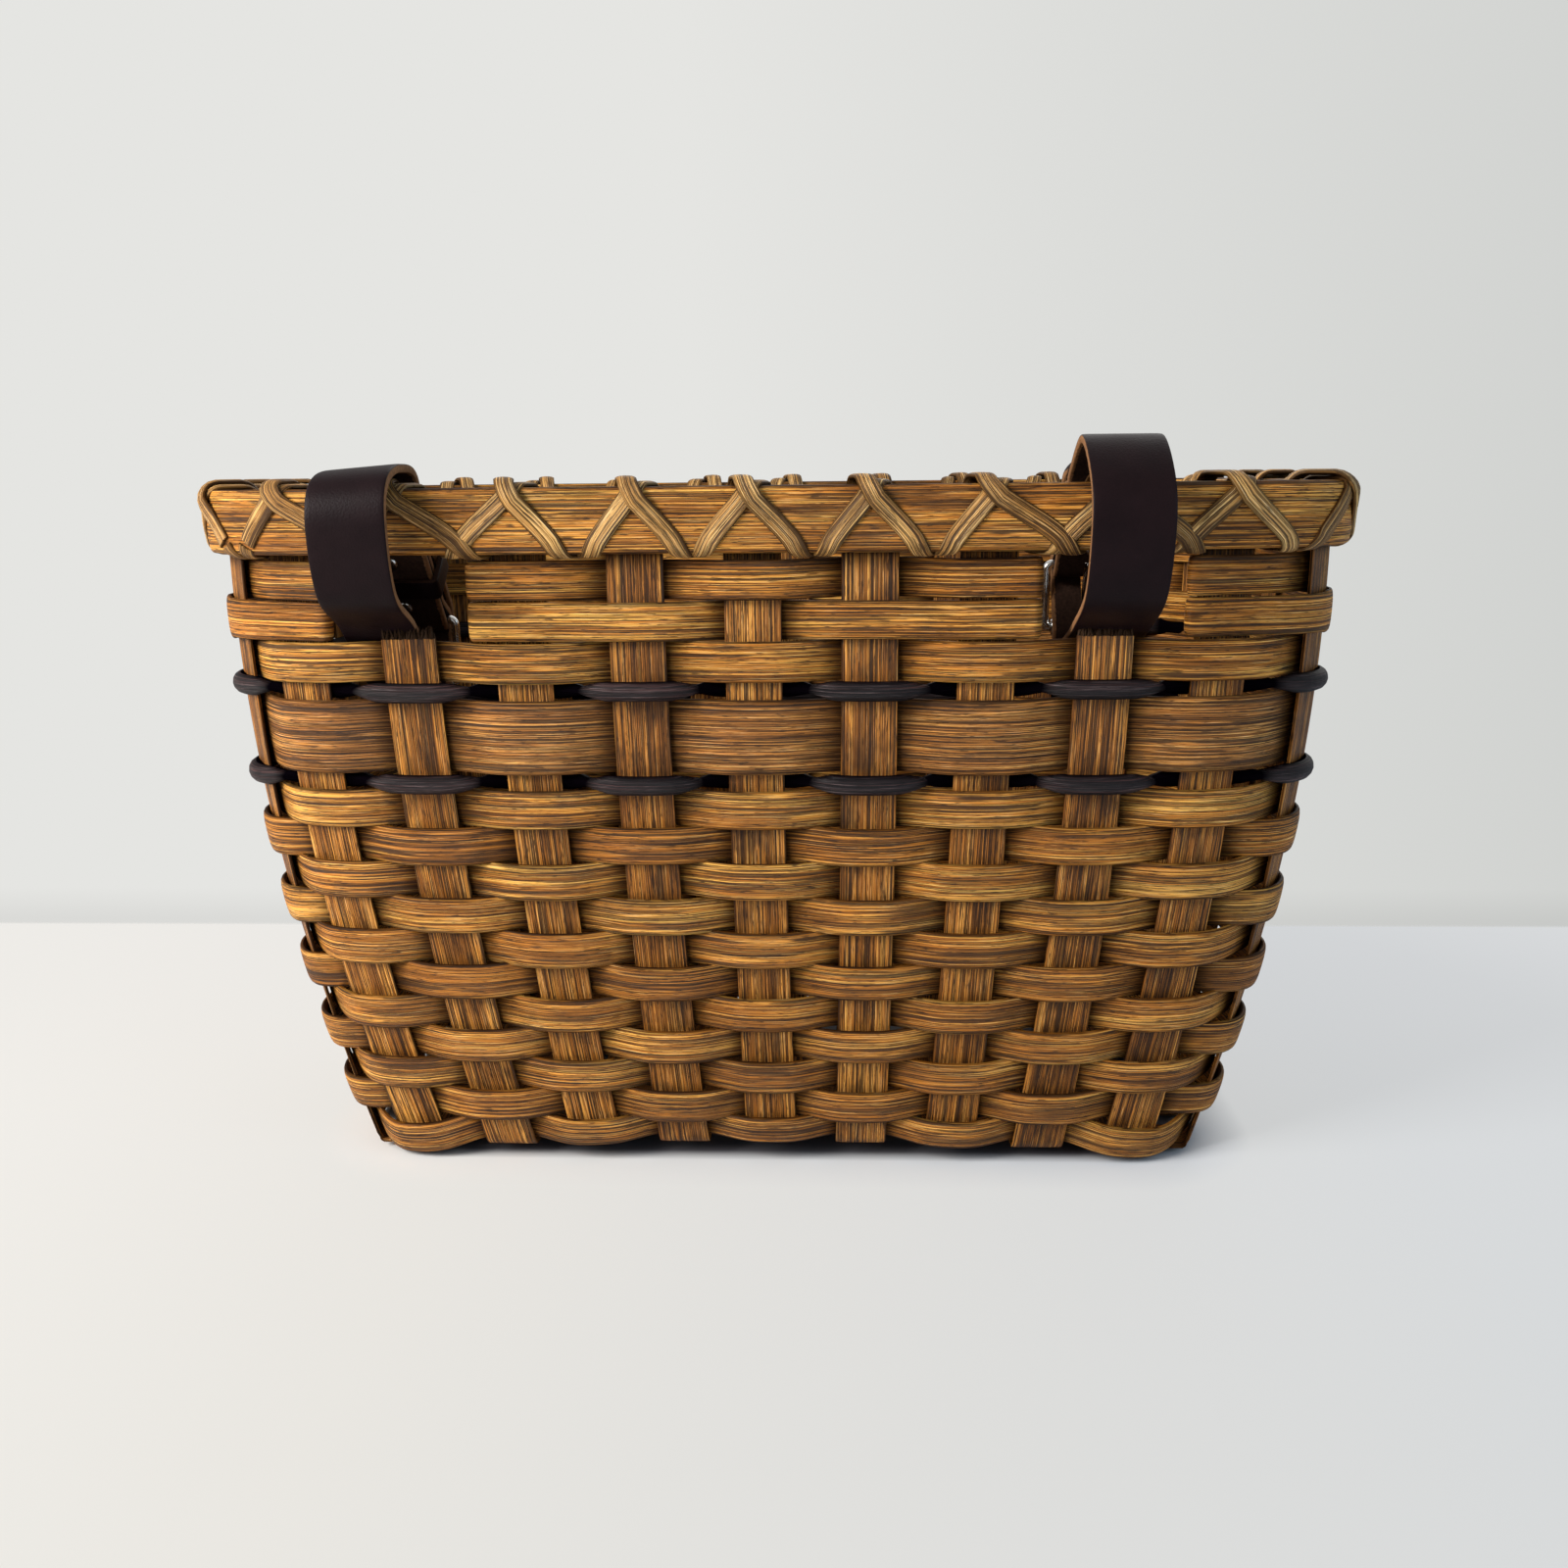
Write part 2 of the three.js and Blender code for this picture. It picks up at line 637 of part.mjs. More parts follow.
// Everything taken out of the strip: the prong's way through the eye and the tail, and the holes.
function strapCuts(heel) {
  const runOut = polar(RUN_TILT, 1);
  const runUp = polar(RUN_TILT + Math.PI / 2, 1);
  const slotWidth = PRONG_WIDTH + 2 * STRAP_GAP;
  const eyeReach = eyeRadius + STRAP_THICK / 2 + STRAP_GAP / 2;
  const eyeCut = new THREE.CylinderGeometry(eyeReach, eyeReach, slotWidth, 24)
    .rotateZ(Math.PI / 2)
    .translate(0, heel.x, heel.y);
  const low = prongCrossing(prongLean);
  const high = prongCrossing(prongLean + PRONG_SWING);
  const slotLength = low.distanceTo(high) + PRONG_THICK + 2 * STRAP_THICK;
  const slotMiddle = low.clone().lerp(high, 0.5).add(heel);
  const slot = new THREE.BoxGeometry(slotWidth, slotLength, 2 * STRAP_THICK)
    .rotateX(high.clone().sub(low).angle())
    .translate(0, slotMiddle.x, slotMiddle.y);
  const along = (out, up) => heel.clone().addScaledVector(runOut, out).addScaledVector(runUp, up);
  const holes = HOLE_HEIGHTS.map((up) =>
    pin(along(tailRadius, up), RUN_TILT, HOLE_RADIUS, 2 * STRAP_THICK),
  );
  const rivetMiddle = (flapShift - eyeRadius) / 2;
  const rivets = RIVET_HEIGHTS.map((up) =>
    pin(along(rivetMiddle, up), RUN_TILT, RIVET_RADIUS + RIVET_GAP, 3 * STRAP_THICK),
  );
  return [eyeCut, slot, ...holes, ...rivets];
}

function strapGeometry(side, heel) {
  const shape = stripShape(strapPath(side, heel));
  const strip = new THREE.ExtrudeGeometry(shape, { depth: STRAP_WIDTH, bevelEnabled: false });
  return cut(layAcross(strip, STRAP_WIDTH), strapCuts(heel));
}

// Buckle, keeper and rivets, each drawn round its own bar or along the strap's run

const frameHalf = STRAP_WIDTH / 2 + FRAME_SIDE_GAP + BAR_RADIUS;

function frameGeometry() {
  const straight = frameHalf - FRAME_CORNER;
  const corners = [
    [straight, -FRAME_CORNER, 0],
    [-straight, -FRAME_CORNER, 1],
    [-straight, FRAME_CORNER - FRAME_REACH, 2],
    [straight, FRAME_CORNER - FRAME_REACH, 3],
  ];
  const stations = corners.flatMap(([x, z, quarter]) =>
    [0, 0.5, 1].map((part) => {
      const angle = ((quarter + part) * Math.PI) / 2;
      const out = new THREE.Vector3(Math.cos(angle), 0, Math.sin(angle));
      const at = new THREE.Vector3(x, 0, z).addScaledVector(out, FRAME_CORNER);
      return { at, out, across: new THREE.Vector3(0, 1, 0) };
    }),
  );
  return sweep(stations, roundSection(BAR_RADIUS, 8), true);
}

function prongGeometry() {
  const eye = BAR_RADIUS + BAR_GAP + PRONG_EYE_WALL;
  const heading = prongLean - Math.PI / 2;
  const half = Math.asin(PRONG_THICK / 2 / eye);
  const ahead = polar(heading, FRAME_REACH + rollerRadius + PRONG_OVERHANG);
  const aside = polar(heading + Math.PI / 2, PRONG_THICK / 2);
  const shape = new THREE.Shape();
  shape.absarc(0, 0, eye, heading + half, heading - half + 2 * Math.PI, false);
  shape.lineTo(ahead.x - aside.x, ahead.y - aside.y);
  shape.lineTo(ahead.x + aside.x, ahead.y + aside.y);
  shape.closePath();
  shape.holes.push(new THREE.Path().absarc(0, 0, BAR_RADIUS + BAR_GAP, 0, 2 * Math.PI, true));
  const settings = { depth: PRONG_WIDTH, bevelEnabled: false, curveSegments: 12 };
  return layAcross(new THREE.ExtrudeGeometry(shape, settings), PRONG_WIDTH);
}

// A tube turned about its own axis, closed back on itself so that it has no loose ends.
function turned(profile, sides) {
  const closed = [...profile, profile[0]].map(([r, y]) => new THREE.Vector2(r, y));
  return new THREE.LatheGeometry(closed, sides);
}

function rollerGeometry() {
  const half = frameHalf - FRAME_CORNER;
  const inner = BAR_RADIUS + BAR_GAP;
  const profile = [[inner, -half], [rollerRadius, -half], [rollerRadius, half], [inner, half]];
  return turned(profile, 12).rotateZ(Math.PI / 2).translate(0, 0, -FRAME_REACH);
}

function keeperGeometry() {
  const half = STRAP_WIDTH / 2 + STRAP_GAP;
  const back = -eyeRadius - STRAP_THICK / 2 - STRAP_GAP;
  const front = tailRadius + STRAP_THICK / 2 + STRAP_GAP;
  const box = (grow) => [
    new THREE.Vector2(-half - grow, back - grow),
    new THREE.Vector2(half + grow, back - grow),
    new THREE.Vector2(half + grow, front + grow),
    new THREE.Vector2(-half - grow, front + grow),
  ];
  const shape = new THREE.Shape(box(KEEPER_THICK));
  shape.holes.push(new THREE.Path(box(0)));
  const settings = { depth: KEEPER_WIDTH, bevelEnabled: false };
  return new THREE.ExtrudeGeometry(shape, settings).translate(0, 0, KEEPER_HEIGHT - KEEPER_WIDTH / 2);
}

function rivetGeometry(height) {
  const back = -eyeRadius - STRAP_THICK / 2 - RIVET_GAP;
  const front = flapShift + STRAP_THICK / 2 + RIVET_GAP;
  const profile = [
    [0, back - RIVET_HEAD_THICK],
    [RIVET_HEAD_RADIUS, back - RIVET_HEAD_THICK],
    [RIVET_HEAD_RADIUS, back],
    [RIVET_RADIUS, back],
    [RIVET_RADIUS, front],
    [RIVET_HEAD_RADIUS, front],
    [RIVET_HEAD_RADIUS, front + RIVET_HEAD_THICK],
    [0, front + RIVET_HEAD_THICK],
  ].map(([r, y]) => new THREE.Vector2(r, y));
  return new THREE.LatheGeometry(profile, 12).translate(0, 0, height);
}

Object.entries(SIDES).forEach(([label, side], s) => {
  const place = new THREE.Group();
  const x = crossUpright(CUT_STAKES[s], -1).head.x + side.aside;
  place.position.set(x, atLength(rimOutline, x, -1).y, 0);
  basket.add(place);
  const heel = new THREE.Vector2(side.heelInset, rimTop - side.heelDrop);
  addPiece("strap_" + label, strapGeometry(side, heel), LEATHER, place);

  const buckle = new THREE.Group();
  buckle.position.set(0, heel.x, heel.y);
  buckle.rotation.x = FRAME_TILT;
  place.add(buckle);
  addPiece("buckle_frame_" + label, frameGeometry(), NICKEL, buckle);
  addPiece("buckle_prong_" + label, prongGeometry(), NICKEL, buckle);
  addPiece("buckle_roller_" + label, rollerGeometry(), NICKEL, buckle);

  const run = new THREE.Group();
  run.position.set(0, heel.x, heel.y);
  run.rotation.x = RUN_TILT;
  place.add(run);
  addPiece("strap_keeper_" + label, keeperGeometry(), LEATHER, run);
  RIVET_HEIGHTS.forEach((height, k) => {
    addPiece("strap_rivet_" + label + "_" + (k + 1), rivetGeometry(height), NICKEL, run);
  });
});

export default basket;
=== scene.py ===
import math
import random

import bmesh
import bpy
from mathutils import Matrix, Vector
from mathutils.kdtree import KDTree


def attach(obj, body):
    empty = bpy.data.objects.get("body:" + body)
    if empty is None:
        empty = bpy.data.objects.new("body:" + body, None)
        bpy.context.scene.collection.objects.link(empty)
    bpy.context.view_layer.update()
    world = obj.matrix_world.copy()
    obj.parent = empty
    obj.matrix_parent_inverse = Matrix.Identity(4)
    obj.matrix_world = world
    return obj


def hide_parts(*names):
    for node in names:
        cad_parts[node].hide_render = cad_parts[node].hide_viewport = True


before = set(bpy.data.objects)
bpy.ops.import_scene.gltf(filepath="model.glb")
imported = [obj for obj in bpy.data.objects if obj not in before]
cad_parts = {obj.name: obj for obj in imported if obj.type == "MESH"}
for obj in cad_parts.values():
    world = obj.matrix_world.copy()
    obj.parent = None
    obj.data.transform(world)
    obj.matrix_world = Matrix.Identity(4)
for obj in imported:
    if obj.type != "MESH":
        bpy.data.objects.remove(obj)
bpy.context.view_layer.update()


# Stakes: flat splints of brown-stained reed, 19 mm wide and sawn flat. Each is bent into a U, so that one
# splint crosses the base and stands up in two walls. Cross stakes and long stakes interlace in the base,
# and nothing else holds them but the weaving and the rim.

STAKE_WIDTH = 0.019
STAKE_THICK = 0.0014
STAKE_BEND = 0.004
STAKE_TOP = 0.2483
# How much painted shade each part of a stake gets: full under the rim, light on the walls, more at the bend
# and across the base.
STAKE_SHADE = {"rim": 1.0, "wall": 0.15, "bend": 0.3, "base": 0.35}
CUT_STAKE_TOP = 0.2018
CUT_STAKES = (2, 8)
CROSS_COUNT = 9
LONG_COUNT = 5
CROSS_DRIFT_BASE = -0.002
CROSS_DRIFT_FRONT = -0.005
CROSS_REACH = {"base": 0.132, "rim": 0.1548}
LONG_REACH = {"base": 0.058, "rim": 0.082}
BASE_OUTLINE = (0.160, 0.074, 9)
RIM_OUTLINE = (0.194, 0.105, 6)
BASE_MID = 0.0025
BASE_WEAVE = 0.0018
BASE_DIVE = 0.5
BASE_BOW = 0.0045
BASE_BOW_REACH = 0.150
RIM_BOTTOM = 0.2298
RIM_TOP = 0.2513
ARM_STEPS = 40
BEND_STEPS = 6
FLAT_STEPS = 12
WELD = 1e-7
CREASE = math.radians(50)
DOWN = Vector((0, 0, -1))
REED_PALE = (255, 192, 90)
REED_WARM = (199, 121, 36)
REED_DEEP = (32, 16, 4)

# Streaks in reed: how many to a metre along and across it, which part of the noise, and how detailed.
FIBRE = (7, 2500, 0.0, 3)
THREAD = (22, 5200, 3.7, 2)
BAND = (8, 170, 5.3, 2)
PATCH = (22, 60, 51.7, 2)
FLECK_AND_SPARKLE = (90, 4200, 61.3, 2)
GROOVE = (3, 800, 21.9, 1)
CRACK = (5, 2100, 33.1, 1)
BREAK = (34, 800, 41.3, 2)
BLOOM = (40, 110, 9.7, 3)
PORE = (160, 2600, 13.1, 2)
GROOVE_BREADTH = 0.06


def ink(colour):
    """A colour as it is read off the screen, 0 to 255, in the linear values that a shader takes."""
    linear = [((c / 255 + 0.055) / 1.055) ** 2.4 if c > 10 else c / 255 / 12.92 for c in colour]
    return (*linear, 1.0)


class Signal:
    """A node's output. Sums with it, and its methods, add a node to the tree and give that one's output."""

    def __init__(self, tree, socket):
        self.tree = tree
        self.socket = socket

    def reckon(self, operation, other=0.0):
        return signal(self.tree, "ShaderNodeMath", {0: self, 1: other}, operation=operation)

    def __add__(self, other):
        return self.reckon("ADD", other)

    def __sub__(self, other):
        return self.reckon("SUBTRACT", other)

    def __rsub__(self, other):
        return signal(self.tree, "ShaderNodeMath", {0: other, 1: self}, operation="SUBTRACT")

    def __mul__(self, other):
        return self.reckon("MULTIPLY", other)

    def __pow__(self, other):
        return self.reckon("POWER", other)

    def __abs__(self):
        return self.reckon("ABSOLUTE")

    def most(self, other):
        return self.reckon("MAXIMUM", other)

    def axes(self):
        """The three parts of a vector."""
        return outlets(self.tree, put(self.tree, "ShaderNodeSeparateXYZ", {0: self})).values()

    def ramp(self, low, high, start=0.0, stop=1.0, interpolation="LINEAR"):
        """start as far as low and stop from high on, where low may also lie above high."""
        inputs = {"Value": self, "From Min": low, "From Max": high, "To Min": start, "To Max": stop}
        return signal(self.tree, "ShaderNodeMapRange", inputs, interpolation_type=interpolation)

    def step(self, low, high):
        return self.ramp(low, high, interpolation="SMOOTHSTEP")

    def mix(self, a, b, blend="MIX"):
        """Colour a where this is 0, and b where it is 1."""
        inputs = {0: self, 6: a, 7: b}
        return signal(self.tree, "ShaderNodeMix", inputs, 2, data_type="RGBA", blend_type=blend)


def feed(node, inputs):
    """Set a node's inputs, each to a value or to another node's output."""
    for key, value in inputs.items():
        if isinstance(value, Signal):
            value.tree.links.new(value.socket, node.inputs[key])
        else:
            node.inputs[key].default_value = value


def put(tree, kind, inputs, **settings):
    """One more node in the tree, with its settings and inputs."""
    node = tree.nodes.new(kind)
    for key, value in settings.items():
        setattr(node, key, value)
    feed(node, inputs)
    return node


def signal(tree, kind, inputs=None, output=0, **settings):
    """One output of one more node in the tree."""
    return Signal(tree, put(tree, kind, inputs or {}, **settings).outputs[output])


def outlets(tree, node):
    return {socket.name: Signal(tree, socket) for socket in node.outputs}


def new_tool(name, carrier, **inputs):
    """A geometry node tree that works on a carrier and takes these inputs, with the signals of them all."""
    tree = bpy.data.node_groups.new(name, "GeometryNodeTree")
    for label, kind in {carrier: "Geometry", **inputs}.items():
        tree.interface.new_socket(label, in_out="INPUT", socket_type="NodeSocket" + kind)
    tree.interface.new_socket("Made", in_out="OUTPUT", socket_type="NodeSocketGeometry")
    return tree, outlets(tree, put(tree, "NodeGroupInput", {}))


def end_tool(tree, made, finish):
    """The end of a tree: the finish, and real geometry in place of instances."""
    made = signal(tree, "GeometryNodeSetMaterial", {"Geometry": made, "Material": finish})
    made = signal(tree, "GeometryNodeRealizeInstances", {0: made})
    put(tree, "NodeGroupOutput", {0: made})
    return tree


def carried(tree, name, kind):
    """What the carrier's points bring along under this name."""
    return signal(tree, "GeometryNodeInputNamedAttribute", {"Name": name}, "Attribute", data_type=kind)


def strip_tree():
    """Geometry nodes that draw a flat or round strip along a path which carries its own facing."""
    tree, given = new_tool(
        "strip_along_path",
        "Path",
        Width="Float",
        Thickness="Float",
        Roundness="Float",
        Sides="Int",
        Seed="Float",
        Finish="Material",
    )

    def kept(geometry, **values):
        """The geometry with these values captured on it."""
        node = put(tree, "GeometryNodeCaptureAttribute", {"Geometry": geometry})
        for label, (kind, value) in values.items():
            node.capture_items.new(kind, label)
            feed(node, {label: value})
        return outlets(tree, node)

    facing = carried(tree, "facing", "FLOAT_VECTOR")
    curve = signal(tree, "GeometryNodeMeshToCurve", {0: given["Path"]})
    curve = signal(tree, "GeometryNodeSetCurveNormal", {"Curve": curve, "Normal": facing}, mode="FREE")
    travel = signal(tree, "GeometryNodeInputTangent")
    sideways = signal(tree, "ShaderNodeVectorMath", {0: travel, 1: facing}, operation="CROSS_PRODUCT")
    length = signal(tree, "GeometryNodeSplineParameter", output="Length")
    path = kept(curve, Length=("FLOAT", length), Sideways=("VECTOR", sideways))

    ring = signal(tree, "GeometryNodeCurvePrimitiveCircle", {"Resolution": given["Sides"], "Radius": 1.0})
    x, y, _ = signal(tree, "GeometryNodeInputPosition").axes()
    layer, half = (abs(axis) ** given["Roundness"] * axis.reckon("SIGN") for axis in (x, y))
    deep, wide = layer * (given["Thickness"] * 0.5), half * (given["Width"] * 0.5)
    shaped = signal(tree, "ShaderNodeCombineXYZ", {0: deep, 1: wide})
    ring = kept(ring, Across=("FLOAT", wide), Layer=("FLOAT", layer))
    profile = signal(tree, "GeometryNodeSetPosition", {"Geometry": ring["Geometry"], "Position": shaped})

    inputs = {"Curve": path["Geometry"], "Profile Curve": profile, "Fill Caps": True}
    body = signal(tree, "GeometryNodeCurveToMesh", inputs)
    across = ring["Across"] * carried(tree, "spread", "FLOAT")
    inputs = {0: path["Sideways"], 3: across - ring["Across"]}
    offset = signal(tree, "ShaderNodeVectorMath", inputs, operation="SCALE")
    body = signal(tree, "GeometryNodeSetPosition", {"Geometry": body, "Offset": offset})
    grain = signal(tree, "ShaderNodeCombineXYZ", {0: path["Length"], 1: across, 2: given["Seed"]})
    for name, kind, value in (("grain", "FLOAT_VECTOR", grain), ("layer", "FLOAT", ring["Layer"])):
        inputs = {"Geometry": body, "Name": name, "Value": value}
        body = signal(tree, "GeometryNodeStoreNamedAttribute", inputs, data_type=kind)
    return end_tool(tree, body, given["Finish"])


STRIP = strip_tree()


def placed(name, data):
    """A new object in the scene."""
    made = bpy.data.objects.new(name, data)
    bpy.context.collection.objects.link(made)
    return made


def evaluated(source, name):
    """The finished mesh of an object with modifiers, as a new plain object in its place."""
    bpy.context.collection.objects.link(source)
    depsgraph = bpy.context.evaluated_depsgraph_get()
    mesh = bpy.data.meshes.new_from_object(source.evaluated_get(depsgraph))
    bpy.data.objects.remove(source)
    mesh.name = name
    made = bmesh.new()
    made.from_mesh(mesh)
    bmesh.ops.remove_doubles(made, verts=made.verts, dist=WELD)
    bmesh.ops.recalc_face_normals(made, faces=made.faces)
    made.to_mesh(mesh)
    made.free()
    mesh.shade_smooth()
    mesh.set_sharp_from_angle(angle=CREASE)
    return placed(name, mesh)


def worked(name, mesh, tree, **inputs):
    """The finished object that a geometry node tree makes of a mesh."""
    source = bpy.data.objects.new(name + "_carrier", mesh)
    tool = source.modifiers.new("tool", "NODES")
    tool.node_group = tree
    for item in tree.interface.items_tree:
        if item.name in inputs:
            tool[item.identifier] = inputs[item.name]
    return evaluated(source, name)


def mark(mesh, name, values):
    """Give each point of a mesh its own number or vector under this name."""
    vectors = isinstance(values[0], Vector)
    kind, key = ("FLOAT_VECTOR", "vector") if vectors else ("FLOAT", "value")
    marks = mesh.attributes.get(name) or mesh.attributes.new(name, kind, "POINT")
    marks.data.foreach_set(key, [part for value in values for part in value] if vectors else values)


def lay_strip(name, line, width, thick, finish, roundness=0.6, sides=12, seed=0.0):
    """A strip along line of (point, facing, how far tucked in, for painted shade, share of the width)."""
    points, facings, tucks, shares = zip(*line)
    last = len(points) - 1
    mesh = bpy.data.meshes.new(name + "_path")
    mesh.from_pydata(points, [(k, k + 1) for k in range(last)], [])
    squared = []
    for k, facing in enumerate(facings):
        travel = (points[min(k + 1, last)] - points[max(k - 1, 0)]).normalized()
        squared.append((facing - travel * facing.dot(travel)).normalized())
    for label, values in (("facing", squared), ("tuck", tucks), ("spread", shares)):
        mark(mesh, label, values)
    form = dict(Width=width, Thickness=thick, Roundness=roundness, Sides=sides, Seed=seed)
    return worked(name, mesh, STRIP, Finish=finish, **form)


def new_finish(name):
    """A new material, with its node tree and its shader."""
    finish = bpy.data.materials.new(name)
    finish.use_nodes = True
    return finish, finish.node_tree, finish.node_tree.nodes["Principled BSDF"]


def attribute(tree, name, output="Fac"):
    return signal(tree, "ShaderNodeAttribute", output=output, attribute_name=name)


def noise(tree, vector, scale, detail, roughness=0.6):
    inputs = {"Vector": vector, "Scale": scale, "Detail": detail, "Roughness": roughness}
    return signal(tree, "ShaderNodeTexNoise", inputs)


def bumped(tree, height, strength, distance):
    inputs = {"Strength": strength, "Distance": distance, "Height": height}
    return signal(tree, "ShaderNodeBump", inputs)


def reed_finish(name, pale, warm, deep, soak=0.35, tuck_shade_steps=(0.55, 0.93, 0.65), woven=True):
    """Stained reed: fibres along the strip, dark pores and cracks; stain and painted shade where tucked."""
    finish, tree, shader = new_finish(name)
    along, across, seed = attribute(tree, "grain", "Vector").axes()
    layer, shade_by_tuck = attribute(tree, "layer"), attribute(tree, "tuck")

    def streaks(per_length, per_width, shift, detail):
        inputs = {0: along * per_length, 1: across * per_width, 2: seed + shift}
        return noise(tree, signal(tree, "ShaderNodeCombineXYZ", inputs), 1.0, detail)

    def lines(*streak):
        return abs(streaks(*streak) - 0.5).step(GROOVE_BREADTH, GROOVE_BREADTH * 0.3)

    fibre = streaks(*FIBRE)
    lot = signal(tree, "ShaderNodeTexWhiteNoise", {"W": seed}, "Value", noise_dimensions="1D")
    tone = fibre * 0.44 + streaks(*THREAD) * 0.34 + streaks(*BAND) * 0.22
    tone = tone + (lot - 0.5) * 0.05 + (streaks(*PATCH) - 0.5) * 0.15
    ramp = put(tree, "ShaderNodeValToRGB", {0: tone})
    first, last = ramp.color_ramp.elements
    first.position, first.color = 0.41, ink([(d + w) / 2 for d, w in zip(deep, warm)])
    last.position, last.color = 0.60, ink(pale)
    ramp.color_ramp.elements.new(0.505).color = ink(warm)

    # Pale flecks: partly paler fibres, partly a painted sparkle of light, whiter than the reed's palest
    # tone.
    straw_and_sparkle = ink([c + (255 - c) * 0.32 for c in pale])
    light = streaks(*FLECK_AND_SPARKLE).step(0.53, 0.66) * tone.step(0.42, 0.56)
    colour = (light * 0.5).mix(Signal(tree, ramp.outputs[0]), straw_and_sparkle)
    groove = lines(*GROOVE).most(lines(*CRACK)) * streaks(*BREAK).step(0.34, 0.48)
    bloom = streaks(*BLOOM).step(0.50, 0.72)
    pore = streaks(*PORE).step(0.57, 0.65)
    # On a woven strip the inner face takes the opposite of the tuck, so its painted shade falls where it
    # lies against a stake.
    if woven:
        inside = layer.step(0.2, -0.2)
        shade_by_tuck = shade_by_tuck + inside * (1.0 - shade_by_tuck * 2.0)
    # Painted shade, with some pooled stain, where the strip tucks in behind a stake.
    stain_and_painted_shade = shade_by_tuck.step(0.05, 0.6) * 0.22 + shade_by_tuck.step(*tuck_shade_steps[:2]) * tuck_shade_steps[2]
    # More painted shade along the strip's rounded edges and, lightly, over its inner face.
    stain_and_painted_shade = stain_and_painted_shade.most(abs(layer).step(0.9, 0.2) * 0.8).most(layer.step(0.2, -0.4) * 0.2)
    for share in (groove * 0.9, bloom * soak, pore * 0.8, stain_and_painted_shade):
        colour = share.mix(colour, ink(deep))
    look = {
        "Base Color": colour,
        "Specular IOR Level": (1.05 - stain_and_painted_shade) * 0.22,
        "Roughness": fibre * 0.3 + 0.38,
        "Normal": bumped(tree, tone - groove * 0.3, 0.8, 0.0012),
    }
    feed(shader, look)
    return finish


STAINED_REED = reed_finish("stained_reed", REED_PALE, REED_WARM, REED_DEEP)
STAKE_REED = reed_finish("stake_reed", (240, 170, 77), (168, 100, 31), REED_DEEP, 0.7, woven=False)


def clamped(x):
    return min(max(x, 0.0), 1.0)


def part_way(a, b, t):
    return a + (b - a) * t


def swing(t):
    return 0.5 - 0.5 * math.cos(math.pi * t)


def narrowed(t, span):
    """How far along the middle span of the way t is."""
    return clamped((t - (1 - span) / 2) / span)


def on_outline(outline, along, side, lengthwise):
    """The point of a rounded outline at this place along the front and back, or along the ends."""
    length, depth, power = outline
    half, other = (length, depth) if lengthwise else (depth, length)
    away = side * other * (1 - abs(along / half) ** power) ** (1 / power)
    return Vector((along, away)) if lengthwise else Vector((away, along))


def facing_of(outline, point):
    length, depth, power = outline
    x = math.copysign(abs(point.x / length) ** (power - 1) / length, point.x)
    y = math.copysign(abs(point.y / depth) ** (power - 1) / depth, point.y)
    return Vector((x, y)).normalized()


def upright(foot_along, head_along, side, lengthwise):
    foot = on_outline(BASE_OUTLINE, foot_along, side, lengthwise)
    head = on_outline(RIM_OUTLINE, head_along, side, lengthwise)
    return foot, head, facing_of(BASE_OUTLINE, foot), facing_of(RIM_OUTLINE, head)


def cross_upright(k, side):
    share = (k - (CROSS_COUNT + 1) / 2) / ((CROSS_COUNT - 1) / 2)
    foot = share * CROSS_REACH["base"] + CROSS_DRIFT_BASE
    head = share * CROSS_REACH["rim"] + (CROSS_DRIFT_FRONT if side < 0 else 0)
    return upright(foot, head, side, True)


def long_upright(k, side):
    share = (k - (LONG_COUNT + 1) / 2) / ((LONG_COUNT - 1) / 2)
    return upright(share * LONG_REACH["base"], share * LONG_REACH["rim"], side, False)


def on_wall(arm, z):
    """Where an upright's middle is at height z, the way round the wall there, and the way out of it."""
    foot, head, foot_out, head_out = arm
    rise = RIM_BOTTOM - BASE_MID
    t = clamped((z - BASE_MID) / rise)
    flare = 2 * t - t * t
    at = foot.lerp(head, flare)
    out = foot_out.lerp(head_out, flare).normalized()
    run = (head - foot) * (2 - 2 * t) / rise
    along = Vector((-out.y, out.x, 0))
    return Vector((at.x, at.y, z)), along, along.cross(Vector((run.x, run.y, 1))).normalized()


def bow(x):
    """How far the base stands clear of the table, which it touches near the corners only."""
    return BASE_BOW * max(0.0, 1 - (x / BASE_BOW_REACH) ** 2)


def arm_line(arm, top, inward):
    """One arm of a stake from its top down to the flat of the base."""
    foot = BASE_MID + bow(arm[0].x)
    line = []
    for k in range(ARM_STEPS + 1):
        at, _, out = on_wall(arm, part_way(top, foot + STAKE_BEND, k / ARM_STEPS))
        line.append((at, out, STAKE_SHADE["rim" if at.z > RIM_BOTTOM else "wall"], 1.0))
    corner = on_wall(arm, foot)[0]
    start, end = line[-1][0], corner + inward * STAKE_BEND
    first_out = line[-1][1]
    for k in range(1, BEND_STEPS + 1):
        t = k / BEND_STEPS
        at = start.lerp(corner, t).lerp(corner.lerp(end, t), t)
        line.append((at, first_out.lerp(DOWN, t).normalized(), STAKE_SHADE["bend"], 1.0))
    return line


def fit(piece, slot, body, *nodes):
    """The piece moves with its body and stands for these nodes, which it hides; the slot is not used."""
    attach(piece, body)
    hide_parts(*nodes)


def weave_in(node, line, width, thick, finish, slot="stained_reed", **form):
    """Lay the strip of reed that stands for this node of the basket."""
    fit(lay_strip("reed_" + node, line, width, thick, finish, **form), slot, "basket", node)


def set_stake(node, first_arm, flat, second_arm, seed):
    line = first_arm + flat + second_arm[::-1]
    weave_in(node, line, STAKE_WIDTH, STAKE_THICK, STAKE_REED, roundness=0.35, sides=16, seed=seed)


